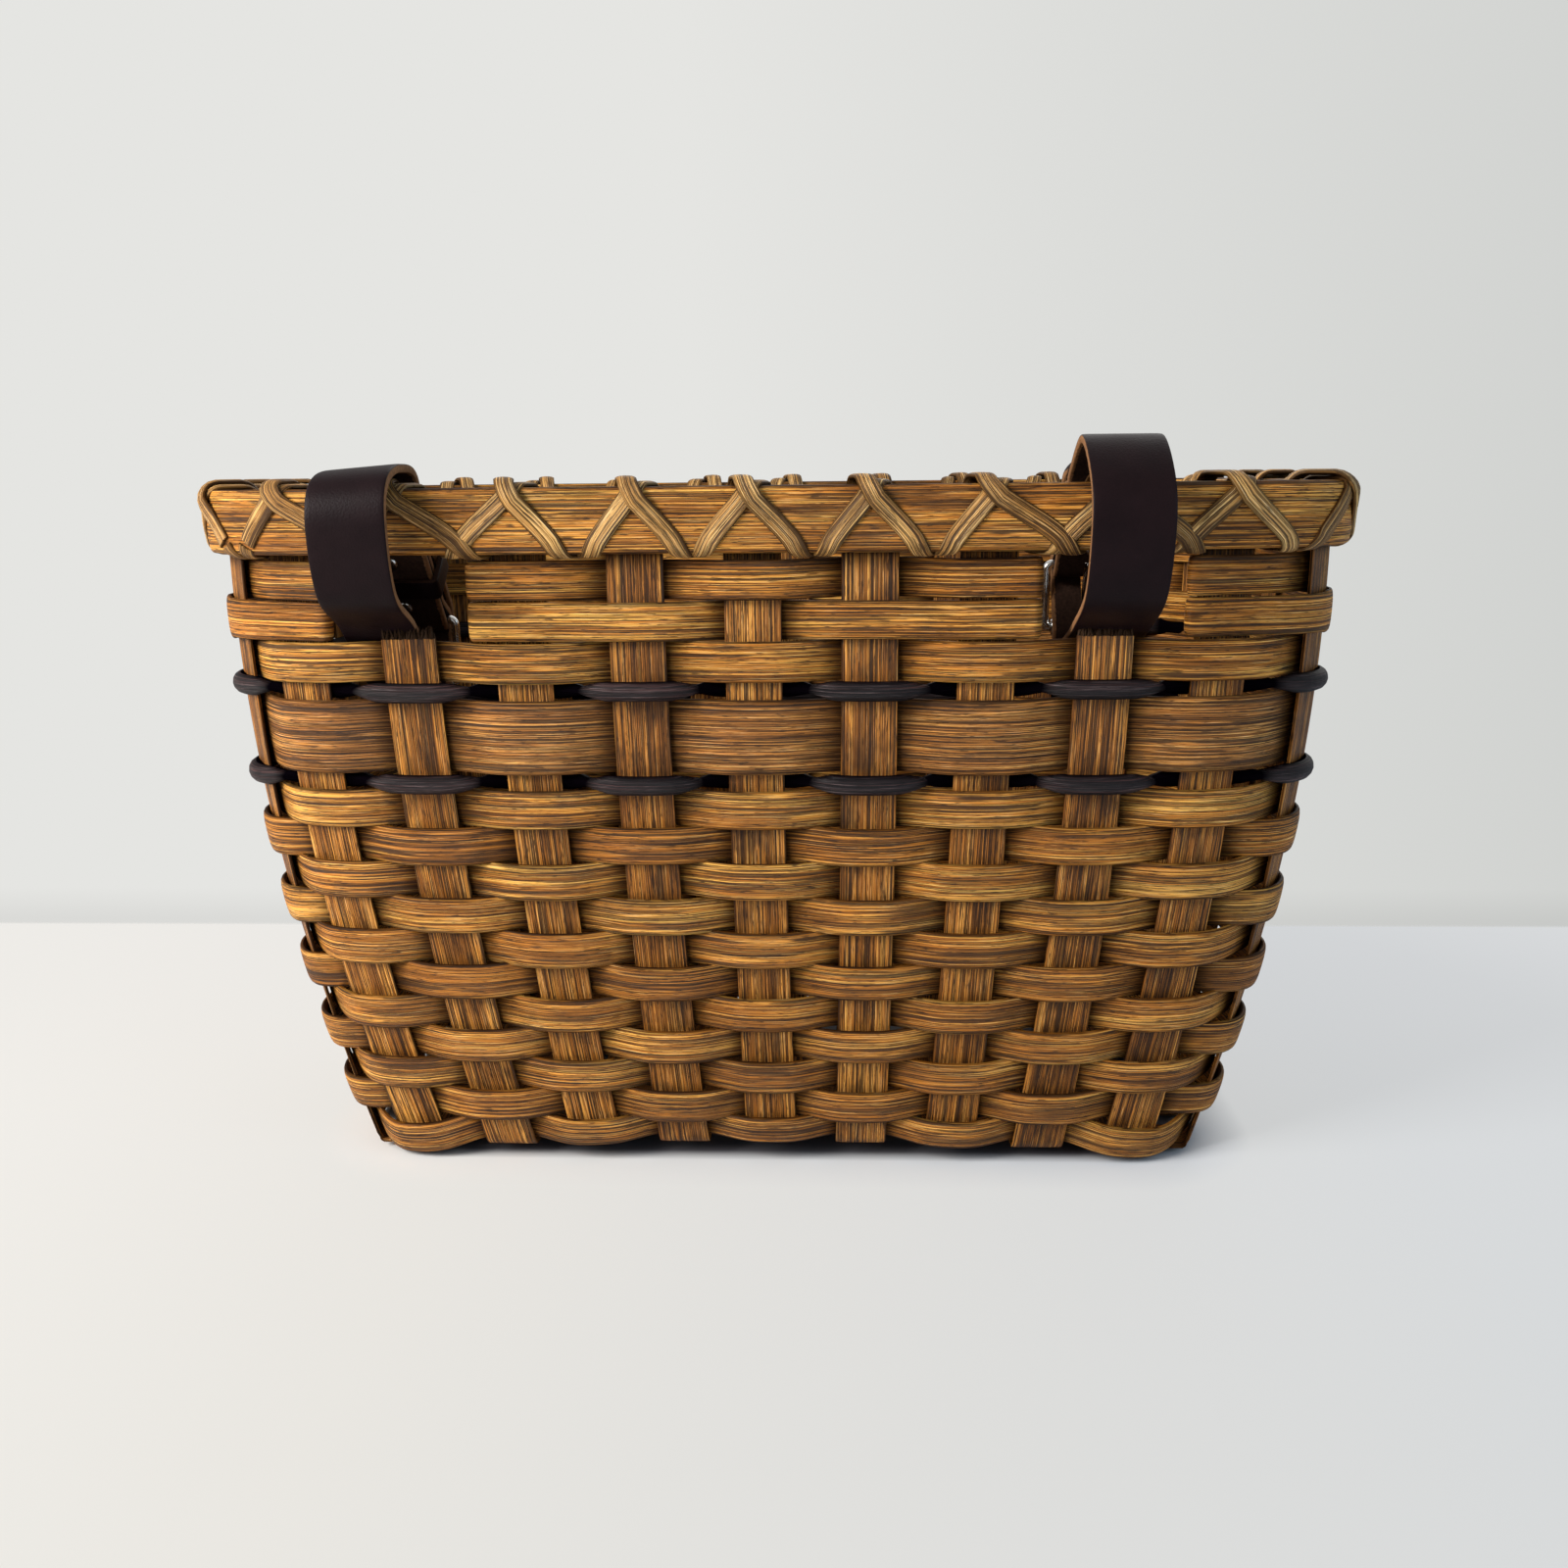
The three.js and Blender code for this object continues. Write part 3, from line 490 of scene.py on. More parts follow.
for k in range(1, CROSS_COUNT + 1):
    front_top = CUT_STAKE_TOP if k in CUT_STAKES else STAKE_TOP
    front = arm_line(cross_upright(k, -1), front_top, Vector((0, 1, 0)))
    back = arm_line(cross_upright(k, 1), STAKE_TOP, Vector((0, -1, 0)))
    start, end = front[-1][0], back[-1][0]
    flat = [(start.lerp(end, j / FLAT_STEPS), DOWN, STAKE_SHADE["base"], 1.0) for j in range(1, FLAT_STEPS)]
    set_stake(f"cross_stake_{k}", front, flat, back, 3.1 * k)

for k in range(1, LONG_COUNT + 1):
    left = arm_line(long_upright(k, -1), STAKE_TOP, Vector((1, 0, 0)))
    right = arm_line(long_upright(k, 1), STAKE_TOP, Vector((-1, 0, 0)))
    start, end = left[-1][0], right[-1][0]
    heights = [(start.x, BASE_MID)]
    for c in range(1, CROSS_COUNT + 1):
        weave = -BASE_WEAVE if (c + k) % 2 == 0 else BASE_WEAVE
        heights.append((cross_upright(c, -1)[0].x, BASE_MID + weave))
    heights.append((end.x, BASE_MID))
    flat = []
    for (x0, z0), (x1, z1) in zip(heights, heights[1:]):
        for j in range(FLAT_STEPS):
            t = j / FLAT_STEPS
            x = part_way(x0, x1, t)
            z = part_way(z0, z1, swing(narrowed(t, BASE_DIVE))) + bow(x)
            flat.append((Vector((x, start.y, z)), DOWN, STAKE_SHADE["base"], 1.0))
    set_stake(f"long_stake_{k}", left, flat[1:], right, 40 + 2.7 * k)


# Weavers: half-inch flat-oval reed, each a loop that passes outside one stake and inside the next and ends
# lapped over its own start behind a stake. The bottom one dips to the floor where it passes outside.
# One weaver of the upper wall is an inch wide.

WEAVER_WIDTH = 0.0138
WEAVER_THICK = 0.0025
WEAVER_FORM = dict(roundness=0.7, sides=18)
WIDE_WEAVER_WIDTH = 0.0258
ROW_PITCH = 0.01305
FIRST_ROW = 0.01235
ROWS_BELOW_BAND = 11
WIDE_ROW = 0.1684
SILL_ROW = 0.19395
OUT_SHIFT = 0.0032
IN_SHIFT = 0.0026
CROSSING = 0.64
UNEVEN_LIFT = 0.0003
UNEVEN_BREADTH = 0.02
SIDES_FROM = 8.2
SIDES_TO = 27.8
SIDES_EASE = 0.8
SIDES_SPREAD = 0.05
BOTTOM_SAG = 0.0040
BOTTOM_LIFT = 0.0026
BOTTOM_PINCH = 0.18
LAP = 0.35
LAP_SHIFT = 1.05 * WEAVER_THICK
STEPS = 14
WIDE_REED = reed_finish("wide_reed", (247, 182, 96), (184, 115, 46), (36, 20, 7), 0.3)

uprights = (
    [cross_upright(k, -1) for k in range(1, CROSS_COUNT + 1)]
    + [long_upright(k, 1) for k in range(1, LONG_COUNT + 1)]
    + [cross_upright(k, 1) for k in range(CROSS_COUNT, 0, -1)]
    + [long_upright(k, -1) for k in range(LONG_COUNT, 0, -1)]
)
TURN = len(uprights)


def hermite(a, leave, b, arrive, t):
    """What lies at t on the smooth curve from a to b that leaves and arrives at these rates."""
    return (
        a * (2 * t**3 - 3 * t**2 + 1)
        + leave * (t**3 - 2 * t**2 + t)
        + b * (3 * t**2 - 2 * t**3)
        + arrive * (t**3 - t**2)
    )


def round_wall(place, z):
    """A point of the wall at a place counted in uprights, with the way out of the wall there."""
    k = math.floor(place)
    at0, along0, out0 = on_wall(uprights[k % TURN], z)
    at1, along1, out1 = on_wall(uprights[(k + 1) % TURN], z)
    chord = (at1 - at0).length
    at = hermite(at0, along0 * chord, at1, along1 * chord, place - k)
    return at, out0.lerp(out1, place - k).normalized()


def over_stake(t):
    """How far a weaver has gone from one side of the wall to the other between two stakes."""
    x = narrowed(t, CROSSING)
    return 0.5 * swing(t) + 0.5 * x * x * (3 - 2 * x)


def weaver_line(z, start, stop, shift_at, sag=0.0, seed=0):
    """A weaver's line from one place to another, with its shift from the stakes at each upright."""
    chance = random.Random(seed)
    uneven = [(chance.uniform(-1, 1), chance.uniform(-1, 1)) for _ in uprights]
    line = []
    count = round((stop - start) * STEPS)
    for j in range(count + 1):
        place = start + (stop - start) * j / count
        k = math.floor(place)
        ease = over_stake(place - k)
        at, out = round_wall(place, z)
        (lift0, breadth0), (lift1, breadth1) = uneven[k % TURN], uneven[(k + 1) % TURN]
        lift = UNEVEN_LIFT * part_way(lift0, lift1, ease)
        shift = part_way(shift_at(k), shift_at(k + 1), ease)
        tuck = clamped((OUT_SHIFT - shift) / (OUT_SHIFT + IN_SHIFT))
        raised = bow(at.x) / BASE_BOW if sag else 0.0
        drop = sag * (1 - tuck) * (1 - raised) - BOTTOM_LIFT * raised
        turned = place % TURN
        aside = clamped((turned - SIDES_FROM) / SIDES_EASE) * clamped((SIDES_TO - turned) / SIDES_EASE)
        breadth = 1 + UNEVEN_BREADTH * part_way(breadth0, breadth1, ease)
        breadth *= (1 + SIDES_SPREAD * aside) * (1 - BOTTOM_PINCH * raised)
        line.append((at + out * shift + Vector((0, 0, lift - drop)), out, tuck, breadth))
    return line


def lapped_row(z, odd, join, sag=0.0, seed=0, out_shift=OUT_SHIFT, in_shift=IN_SHIFT):
    """A whole loop that starts and ends at the upright called join, where it passes inside."""

    def shift_at(k):
        return out_shift if (k % 2 == 0) == odd else -in_shift

    line = weaver_line(z, join - LAP, join + TURN + LAP, shift_at, sag, seed)
    lapped = round(2 * LAP * STEPS)
    for j in range(2 * lapped):
        at, out, tuck, breadth = line[-1 - j]
        inward = LAP_SHIFT * min(1, (2 * lapped - j) / lapped)
        line[-1 - j] = (at - out * inward, out, tuck, breadth)
    return line


rows = []
for k in range(ROWS_BELOW_BAND):
    node, z = f"weaver_row_{k + 1:02d}", FIRST_ROW + ROW_PITCH * k
    rows.append((node, z, WEAVER_WIDTH, STAINED_REED, k % 2 == 0))
rows.append(("wide_weaver", WIDE_ROW, WIDE_WEAVER_WIDTH, WIDE_REED, True))
rows.append(("weaver_row_15", SILL_ROW, WEAVER_WIDTH, STAINED_REED, True))
for k, (node, z, width, finish, odd) in enumerate(rows):
    join = 17 + 2 * (k % 2) if odd else 16 + 2 * (k % 3)
    line = lapped_row(z, odd, join, BOTTOM_SAG if k == 0 else 0.0, seed=k)
    weave_in(node, line, width, WEAVER_THICK, finish, seed=100 + 5.7 * k, **WEAVER_FORM)


# Dyed reeds: two round reeds, dyed a dark plum brown before weaving. They run above and below the wide
# weaver, in and out of the same stakes, spindle-shaped on the front, pressed against the side stakes and
# lapped at the back.

DYED_DIAMETER = 0.0061
DYED_ROWS = (("dyed_reed_lower", 0.15245), ("dyed_reed_upper", 0.18435))
DYED_OUT_SHIFT = 0.0046
DYED_IN_SHIFT = 0.0040
DYED_PRESS = 0.0020
SPINDLE_NECK = 0.45
SPINDLE_SWELL = 0.65
SPINDLES_TO = -0.09
SPINDLES_EASE = 0.06
PLAIN_SHARE = 1.12
# The dyed reed is painted darkest where it tucks behind a stake, as shade.
DYED_REED = reed_finish("dyed_reed", (76, 49, 47), (33, 22, 24), (5, 3, 6), tuck_shade_steps=(0.15, 0.62, 1.0))

for k, (node, z) in enumerate(DYED_ROWS):
    line = lapped_row(z, False, 16 + 2 * k, 0.0, 50 + k, DYED_OUT_SHIFT, DYED_IN_SHIFT)
    for j, (at, out, tuck, breadth) in enumerate(line):
        spindle = SPINDLE_NECK + SPINDLE_SWELL * abs(2 * tuck - 1)
        share = part_way(spindle, PLAIN_SHARE, clamped((at.y - SPINDLES_TO) / SPINDLES_EASE))
        pressed = DYED_PRESS * abs(out.x) * (1 - tuck)
        line[j] = (at - out * pressed, out, tuck, breadth * share)
    form = dict(roundness=1.0, sides=14, seed=200 + 9.1 * k)
    weave_in(node, line, DYED_DIAMETER, DYED_DIAMETER, DYED_REED, "dyed_reed", **form)


# Rows beside the strap openings: two more half-inch weavers, cut at the openings. Each cut end is folded
# round the stake beside the opening and tucked away behind it.

OPEN_ROWS = (("weaver_row_16", 0.2076, False), ("weaver_row_17", 0.2212, True))
STRETCHES = (("front", 2, 6, 0.005), ("around", 8, 28, 0.0003))
STRETCH_MARGIN = 0.22
FRONT_WALL = -0.085
FRONT_SHARE = 0.95
AROUND_SHARE = 1.02
FOLD_RADIUS = 0.0020
FOLD_TUCK = 0.008
FOLD_STEPS = 8


def folded_end(arm, z, direction, reach):
    """A weaver's end, from its last crossing round the stake's edge to its tip behind the stake."""
    at, along, out = on_wall(arm, z)
    edge = direction * (STAKE_WIDTH / 2 + reach)
    line = []
    for k in range(FOLD_STEPS + 1):
        t = k / FOLD_STEPS
        way = along * direction * math.sin(math.pi * t) + out * math.cos(math.pi * t)
        # Painted shade on the fold, deepening as it turns behind the stake, and heavy behind it.
        line.append((at + along * edge + way * FOLD_RADIUS, way, 0.1 + 0.5 * t, 1.0))
    for k in range(1, FOLD_STEPS + 1):
        back = edge - direction * (abs(edge) + FOLD_TUCK) * k / FOLD_STEPS
        line.append((at + along * back - out * FOLD_RADIUS, -out, 0.8, 1.0))
    return line


for row, z, odd in OPEN_ROWS:
    for label, first, last, reach in STRETCHES:

        def stretch_shift(k):
            if k <= first or k >= last:
                return FOLD_RADIUS
            return OUT_SHIFT if (k % 2 == 0) == odd else -IN_SHIFT

        start, stop = first + STRETCH_MARGIN, last - STRETCH_MARGIN
        middle = weaver_line(z, start, stop, stretch_shift, seed=60 + first)
        first_end = folded_end(uprights[first], z, -1, reach)
        line = first_end[::-1] + middle + folded_end(uprights[last % TURN], z, 1, reach)
        for j, (at, out, tuck, breadth) in enumerate(line):
            share = FRONT_SHARE if at.y < FRONT_WALL else AROUND_SHARE
            line[j] = (at, out, tuck, breadth * share)
        form = dict(seed=300 + 7.7 * first + 90 * z, **WEAVER_FORM)
        weave_in(f"{row}_{label}", line, WEAVER_WIDTH, WEAVER_THICK, STAINED_REED, **form)


# Rim: a last weaver between the stake tops, held by two stout bands of half-round reed, one outside and
# one inside. The bands butt at the back, under the lashing.

RIM_ROW = 0.23715
RIM_ROW_SHIFT = 0.0020
RIM_ROW_THICK = 0.0018
BAND_HEIGHT = 0.0215
BAND_THICK = 0.0053
BAND_SHIFT = 0.00555
RIM_JOIN = 18
BAND_MEETS = 0.99999

line = lapped_row(RIM_ROW, False, RIM_JOIN, 0.0, 70, RIM_ROW_SHIFT, RIM_ROW_SHIFT)
# The rim weaver takes full painted shade, as it lies shaded between the bands.
line = [(at, out, 1.0, breadth) for at, out, _, breadth in line]
form = dict(roundness=0.62, sides=12, seed=410)
weave_in("rim_weaver", line, WEAVER_WIDTH, RIM_ROW_THICK, STAINED_REED, **form)

for label, side in (("outer", 1), ("inner", -1)):
    line = []
    for j in range(TURN * STEPS + 1):
        at, out = round_wall(RIM_JOIN + j / STEPS * BAND_MEETS, RIM_BOTTOM)
        at.z = (RIM_BOTTOM + RIM_TOP) / 2
        line.append((at + out * BAND_SHIFT * side, out * side, 0.0, 1.0))
    form = dict(roundness=0.52, sides=24, seed=420 + 11 * side)
    weave_in(f"rim_band_{label}", line, BAND_HEIGHT, BAND_THICK, STAINED_REED, **form)


# Lashing: two long strands of 7 mm flat reed, wound over the rim one each way, so that they cross on top
# of every stake and make a row of crosses. They pass under the rim between the stakes.

LASH_WIDTH = 0.0066
LASH_THICK = 0.0021
LASH_CORNER = 0.0042
BAND_OUTSIDE = 0.0078
LASH_STEPS = 52
OPEN_BAYS = (0, 1, 6, 7)
APEX_STRAY = 0.03
FOOT_STRAY = 0.02
UNDER_FROM = 0.8
# Painted shade on a strand where it passes under the rim.
UNDER_SHADE = 0.25

# Each strand's number, how far its foot lies before a stake in a closed and in an open bay, and how far it
# lies off the rim, by its share of a turn.
STRANDS = {
    "rising": (
        1,
        (0.31, 0.42),
        ((0.0, 0.0003), (0.1, 0.0007), (0.25, 0.0007), (0.5, 0.0007), (0.9, 0.0003), (1.0, 0.0003)),
    ),
    "falling": (
        -1,
        (0.36, 0.56),
        (
            *((0.0, 0.0006), (0.1, 0.0008), (0.2, 0.0022), (0.3, 0.0024)),
            *((0.5, 0.0022), (0.6, 0.0008), (0.9, 0.0006), (1.0, 0.0006)),
        ),
    ),
}
PALE_REED = reed_finish("pale_reed", (240, 196, 124), (190, 136, 68), (52, 30, 11), 0.3)


def polar(angle, radius):
    return Vector((math.cos(angle), math.sin(angle))) * radius


def rim_section(share):
    """A point round the rim's section and the way out of it: up the outside, over, down and back under."""
    half, low, high = BAND_OUTSIDE - LASH_CORNER, RIM_BOTTOM + LASH_CORNER, RIM_TOP - LASH_CORNER
    corners = ((half, high), (-half, high), (-half, low), (half, low))
    runs = (high - low, 2 * half) * 2
    bend = math.pi / 2 * LASH_CORNER
    travelled = share * (sum(runs) + len(runs) * bend)
    for quarter, (corner, straight) in enumerate(zip(corners, runs)):
        angle = quarter * math.pi / 2
        if travelled <= straight:
            out, ahead = polar(angle, 1), polar(angle + math.pi / 2, 1)
            return Vector(corner) + out * LASH_CORNER - ahead * (straight - travelled), out
        travelled -= straight
        if travelled <= bend:
            out = polar(angle + travelled / LASH_CORNER, 1)
            return Vector(corner) + out * LASH_CORNER, out
        travelled -= bend
    return Vector((BAND_OUTSIDE, low)), Vector((1, 0))


def eased(x, knots):
    """The value at x of a smooth line drawn through the knots."""
    last = len(knots) - 1
    k = next((n for n in range(last) if x <= knots[n + 1][0]), last - 1)
    (x0, v0), (x1, v1) = knots[k], knots[k + 1]
    before, after = knots[max(k - 1, 0)], knots[min(k + 2, last)]
    run = x1 - x0
    leave = (v1 - before[1]) / (x1 - before[0]) * run
    arrive = (after[1] - v0) / (after[0] - x0) * run
    return hermite(v0, leave, v1, arrive, (x - x0) / run)


def lashing_line(direction, reaches, lifts, seed):
    """A strand wound once over the rim at each upright, going round the basket in this direction."""
    chance = random.Random(seed)
    apex = {k: k + chance.uniform(-APEX_STRAY, APEX_STRAY) for k in range(-1, TURN + 1)}
    apex[-1], apex[TURN] = apex[TURN - 1] - TURN, apex[0] + TURN
    feet = []
    for k in range(TURN):
        bay = (k - 1 if direction > 0 else k) % TURN
        feet.append(reaches[bay in OPEN_BAYS] + chance.uniform(-FOOT_STRAY, FOOT_STRAY))
    line = []
    for k in range(TURN)[::direction]:
        here, there = apex[k], apex[k + direction]
        start = here - direction * feet[k]
        finish = there - direction * feet[(k + direction) % TURN]
        knots = (
            (-0.2, start - 0.18 * direction),
            (0.0, start),
            (0.23, here),
            (0.30, here + 0.05 * direction),
            (0.50, here + 0.14 * direction),
            (0.80, finish - 0.18 * direction),
            (1.0, finish),
            (1.23, there),
        )
        for j in range(LASH_STEPS):
            share = j / LASH_STEPS
            (shift, z), way = rim_section(share)
            at, out = round_wall(eased(share, knots), RIM_BOTTOM)
            facing = out * way.x + Vector((0, 0, way.y))
            point = Vector((at.x, at.y, z)) + out * shift + facing * eased(share, lifts)
            line.append((point, facing, UNDER_SHADE if share > UNDER_FROM else 0.0, 1.0))
    return line


for label, (direction, reaches, lifts) in STRANDS.items():
    line = lashing_line(direction, reaches, lifts, 80 + direction)
    form = dict(roundness=0.9, sides=14, seed=500 + 13 * direction)
    weave_in(f"lashing_{label}", line, LASH_WIDTH, LASH_THICK, PALE_REED, **form)


# Frayed ends: the two cut stakes are snapped off above the sill of their openings, and the torn fibres
# stand up in a short dark brush.

FIBRE_LENGTH = 0.0044
FIBRE_RADIUS = 0.0005
FIBRE_TIP = 0.35
FIBRE_COUNT = 90
FIBRE_LEANS = ((-0.25, -0.3, -3.0), (0.4, 0.3, 3.0))
FIBRE_SIZES = (0.3, 1.0)
BRUSH_HALF = (0.47 * STAKE_WIDTH, 0.4 * STAKE_THICK)
FRAYED_REED = reed_finish("frayed_reed", (196, 146, 84), (120, 82, 44), (40, 26, 15))


def brush_tree():
    """Geometry nodes that stand a tapering fibre, a little astray, on every point."""
    kinds = dict(Length="Float", Radius="Float", Seed="Int", Finish="Material")
    tree, given = new_tool("torn_fibres", "Points", **kinds)
    inputs = {
        "Vertices": 5,
        "Radius Top": given["Radius"] * FIBRE_TIP,
        "Radius Bottom": given["Radius"],
        "Depth": given["Length"],
    }
    fibre = signal(tree, "GeometryNodeMeshCone", inputs)
    inputs = {0: FIBRE_LEANS[0], 1: FIBRE_LEANS[1], "Seed": given["Seed"]}
    lean = signal(tree, "FunctionNodeRandomValue", inputs, data_type="FLOAT_VECTOR")
    inputs = {2: FIBRE_SIZES[0], 3: FIBRE_SIZES[1], "Seed": given["Seed"]}
    size = signal(tree, "FunctionNodeRandomValue", inputs, 1, data_type="FLOAT")
    scale = signal(tree, "ShaderNodeCombineXYZ", {0: 1.0, 1: 1.0, 2: size})
    inputs = {"Points": given["Points"], "Instance": fibre, "Rotation": lean, "Scale": scale}
    return end_tool(tree, signal(tree, "GeometryNodeInstanceOnPoints", inputs), given["Finish"])


BRUSH = brush_tree()
for k in CUT_STAKES:
    at, along, out = on_wall(cross_upright(k, -1), CUT_STAKE_TOP)
    chance = random.Random(k)
    points = []
    for j in range(FIBRE_COUNT):
        sideways, outward = (chance.uniform(-half, half) for half in BRUSH_HALF)
        points.append(at + along * sideways + out * outward)
    mesh = bpy.data.meshes.new("fibre_points")
    mesh.from_pydata(points, [], [])
    form = dict(Length=FIBRE_LENGTH, Radius=FIBRE_RADIUS, Seed=k, Finish=FRAYED_REED)
    brush = worked(f"frayed_end_{k}", mesh, BRUSH, **form)
    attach(brush, "basket")


# Straps: inch-wide strips of dark brown bridle leather, smooth outside and rough on the flesh side, with
# raw tan edges. Each is folded round its buckle's heel bar and riveted, goes over the rim, in through its
# opening, and back through the buckle.

STRAP_WIDTH = 0.0254
STRAP_THICK = 0.003
STRAP_GAP = 0.0004
BAR_RADIUS = 0.0015
BAR_GAP = 0.0003
FRAME_REACH = 0.023
FRAME_TILT = math.radians(5)
ROLLER_RADIUS = 0.0028
RUN_TILT = math.radians(40)
EYE_RADIUS = BAR_RADIUS + BAR_GAP + STRAP_THICK / 2
FLAP_SHIFT = STRAP_THICK + STRAP_GAP - EYE_RADIUS
FLAP_LENGTH = 0.037
FLAP_FOOT = 0.0073
TAIL_RADIUS = EYE_RADIUS + STRAP_THICK + STRAP_GAP
TAIL_LENGTH = 0.044
TIP_LENGTH = 0.011
TIP_POWER = 2.2
TIP_LEAST = 0.06
STRAIGHT_RUN = 0.036
ROLLER_PASS = ROLLER_RADIUS + BAR_GAP + STRAP_THICK / 2
LASHED_OUT = 0.0108
SILL = 0.2003
STUB = 0.0025
HOLE_RADIUS = 0.00225
HOLE_HEIGHTS = (0.008, 0.028)
PRONG_WIDTH = 0.0036
PRONG_THICK = 0.0022
PRONG_LEAN = math.asin((ROLLER_RADIUS + BAR_GAP + PRONG_THICK / 2) / FRAME_REACH)
PRONG_SWING = math.radians(30)
LINE_STEP = 0.0015
ARC_STEP = 0.0008
CURVE_STEPS = 12
SIDE_SIZES = ("x", "crown", "front", "inside", "sill", "inset", "drop", "lean")
SIDES = {
    "left": dict(zip(SIDE_SIZES, (-0.131, 0.007, 0.014, 0.003, 0.0019, 0.042, 0.047, 0.08))),
    "right": dict(zip(SIDE_SIZES, (0.113, 0.015, 0.0185, 0.008, 0.0013, 0.050, 0.029, 0.0))),
}
LEATHER = ((16, 9, 11), (28, 16, 18))
FLESH = ((24, 17, 15), (70, 49, 38))


def leather_finish(name, width, cut):
    """Dark bridle leather: close pebbled grain outside, napped flesh side, raw tan at the cut edges."""
    finish, tree, shader = new_finish(name)
    _, across, _ = attribute(tree, "grain", "Vector").axes()
    layer = attribute(tree, "layer")
    place = signal(tree, "ShaderNodeTexCoord", output="Object")
    mottle, nap = noise(tree, place, 90.0, 3), noise(tree, place, 900.0, 3)
    pebble = signal(tree, "ShaderNodeTexVoronoi", {"Vector": place, "Scale": 1500.0})

    def toned(value, colours):
        return value.mix(*[ink(colour) for colour in colours])

    rough_side = layer.step(0.1, -0.1)
    ragged = abs(across) + rough_side * (nap * 0.0012)
    raw = ragged.step(width / 2 - 0.0007, width / 2 - 0.0003) * layer.step(0.85, 0.5)
    dull = rough_side.most(raw)
    colour = rough_side.mix(toned(mottle, LEATHER), toned(nap, FLESH))
    look = {
        "Base Color": raw.mix(colour, toned(nap, cut)),
        "Specular IOR Level": 0.07,
        "Roughness": mottle * 0.16 + 0.36 + dull * 0.35,
        "Normal": bumped(tree, pebble * 0.25 + nap * (dull + 0.12), 0.35, 0.0005),
    }
    feed(shader, look)
    return finish


STRAP_LEATHER = leather_finish("strap_leather", STRAP_WIDTH, ((76, 50, 34), (156, 112, 74)))
RUN_OUT = polar(RUN_TILT, 1)
RUN_UP = polar(RUN_TILT + math.pi / 2, 1)
TAIL_RISE = FRAME_TILT + math.pi / 2 - math.asin((ROLLER_PASS + TAIL_RADIUS) / FRAME_REACH)
TAIL_BEND = TAIL_RISE - math.pi / 2
TAIL_FROM = polar(FRAME_TILT + math.pi / 2, -FRAME_REACH) + polar(TAIL_RISE + math.pi / 2, ROLLER_PASS)
TAIL_TO = polar(TAIL_BEND, TAIL_RADIUS)


def straight_line(a, b):
    count = max(2, round((b - a).length / LINE_STEP))
    return [a.lerp(b, k / count) for k in range(count)]


def arc_line(centre, radius, start, stop):
    count = max(6, round(abs(stop - start) * radius / ARC_STEP))
    return [centre + polar(start + (stop - start) * k / count, radius) for k in range(count)]


def smooth_line(points):
    """A curve through the points, each of which it leaves along the line between its neighbours."""
    line = []
    last = len(points) - 1
    for k in range(last):
        p0, p1, p2, p3 = (points[min(max(k + j, 0), last)] for j in (-1, 0, 1, 2))
        for j in range(CURVE_STEPS):
            line.append(hermite(p1, (p2 - p0) / 2, p2, (p3 - p1) / 2, j / CURVE_STEPS))
    return line


def heel_of(side):
    """The middle of the heel bar, in the upright plane across the rim and measured from the wall."""
    return Vector((side["inset"], RIM_TOP - side["drop"]))


def by_run(side, out, up):
    """A spot of that plane, measured from the heel bar out of the strap's run and up along it."""
    return heel_of(side) + RUN_OUT * out + RUN_UP * up


def in_room(side, spot):
    """Where a spot of that plane is in the room."""
    wall = on_outline(RIM_OUTLINE, side["x"], -1, True)
    return Vector((side["x"], wall.y + spot.x, spot.y))


def strap_route(side):
    """The strap's middle line, from the end of the flap to the tip of the tail."""
    heel = heel_of(side)
    rising = (TAIL_TO - TAIL_FROM).normalized()
    passing = heel + TAIL_FROM
    opening = Vector((0, SILL + STUB + side["sill"] + STRAP_THICK / 2))
    shoulder = -LASHED_OUT - side["front"] * 0.6
    dip = opening.lerp(passing, 0.45) - Vector((0, 2 * STRAP_THICK))
    eye_start = RUN_TILT + math.pi / 2 - math.acos(EYE_RADIUS / FLAP_FOOT)
    head = by_run(side, -EYE_RADIUS, STRAIGHT_RUN)
    tip = by_run(side, TAIL_RADIUS, TAIL_LENGTH)
    over_rim = [
        head,
        Vector((LASHED_OUT + side["inside"], RIM_TOP + side["crown"] * 0.2)),
        Vector((-STRAP_THICK, RIM_TOP + side["crown"] - STRAP_THICK / 2)),
        Vector((shoulder, RIM_TOP + side["crown"] * 0.25)),
        Vector((-LASHED_OUT - side["front"], (RIM_TOP + RIM_BOTTOM) / 2)),
        Vector((shoulder, (RIM_BOTTOM + opening.y) / 2)),
        opening,
        dip,
        passing - rising * 3 * STRAP_THICK,
        passing - rising * STRAP_THICK,
    ]
    return [
        *straight_line(by_run(side, FLAP_SHIFT, FLAP_LENGTH), by_run(side, FLAP_SHIFT, FLAP_FOOT)),
        *arc_line(heel, EYE_RADIUS, eye_start, RUN_TILT - math.pi),
        *straight_line(by_run(side, -EYE_RADIUS, 0), head),
        *smooth_line(over_rim),
        *straight_line(over_rim[-1], heel + TAIL_TO),
        *arc_line(heel, TAIL_RADIUS, TAIL_BEND, RUN_TILT),
        *straight_line(by_run(side, TAIL_RADIUS, 0), tip),
        tip,
    ]


def mesh_of(name, shape):
    mesh = bpy.data.meshes.new(name)
    shape.to_mesh(mesh)
    shape.free()
    return mesh


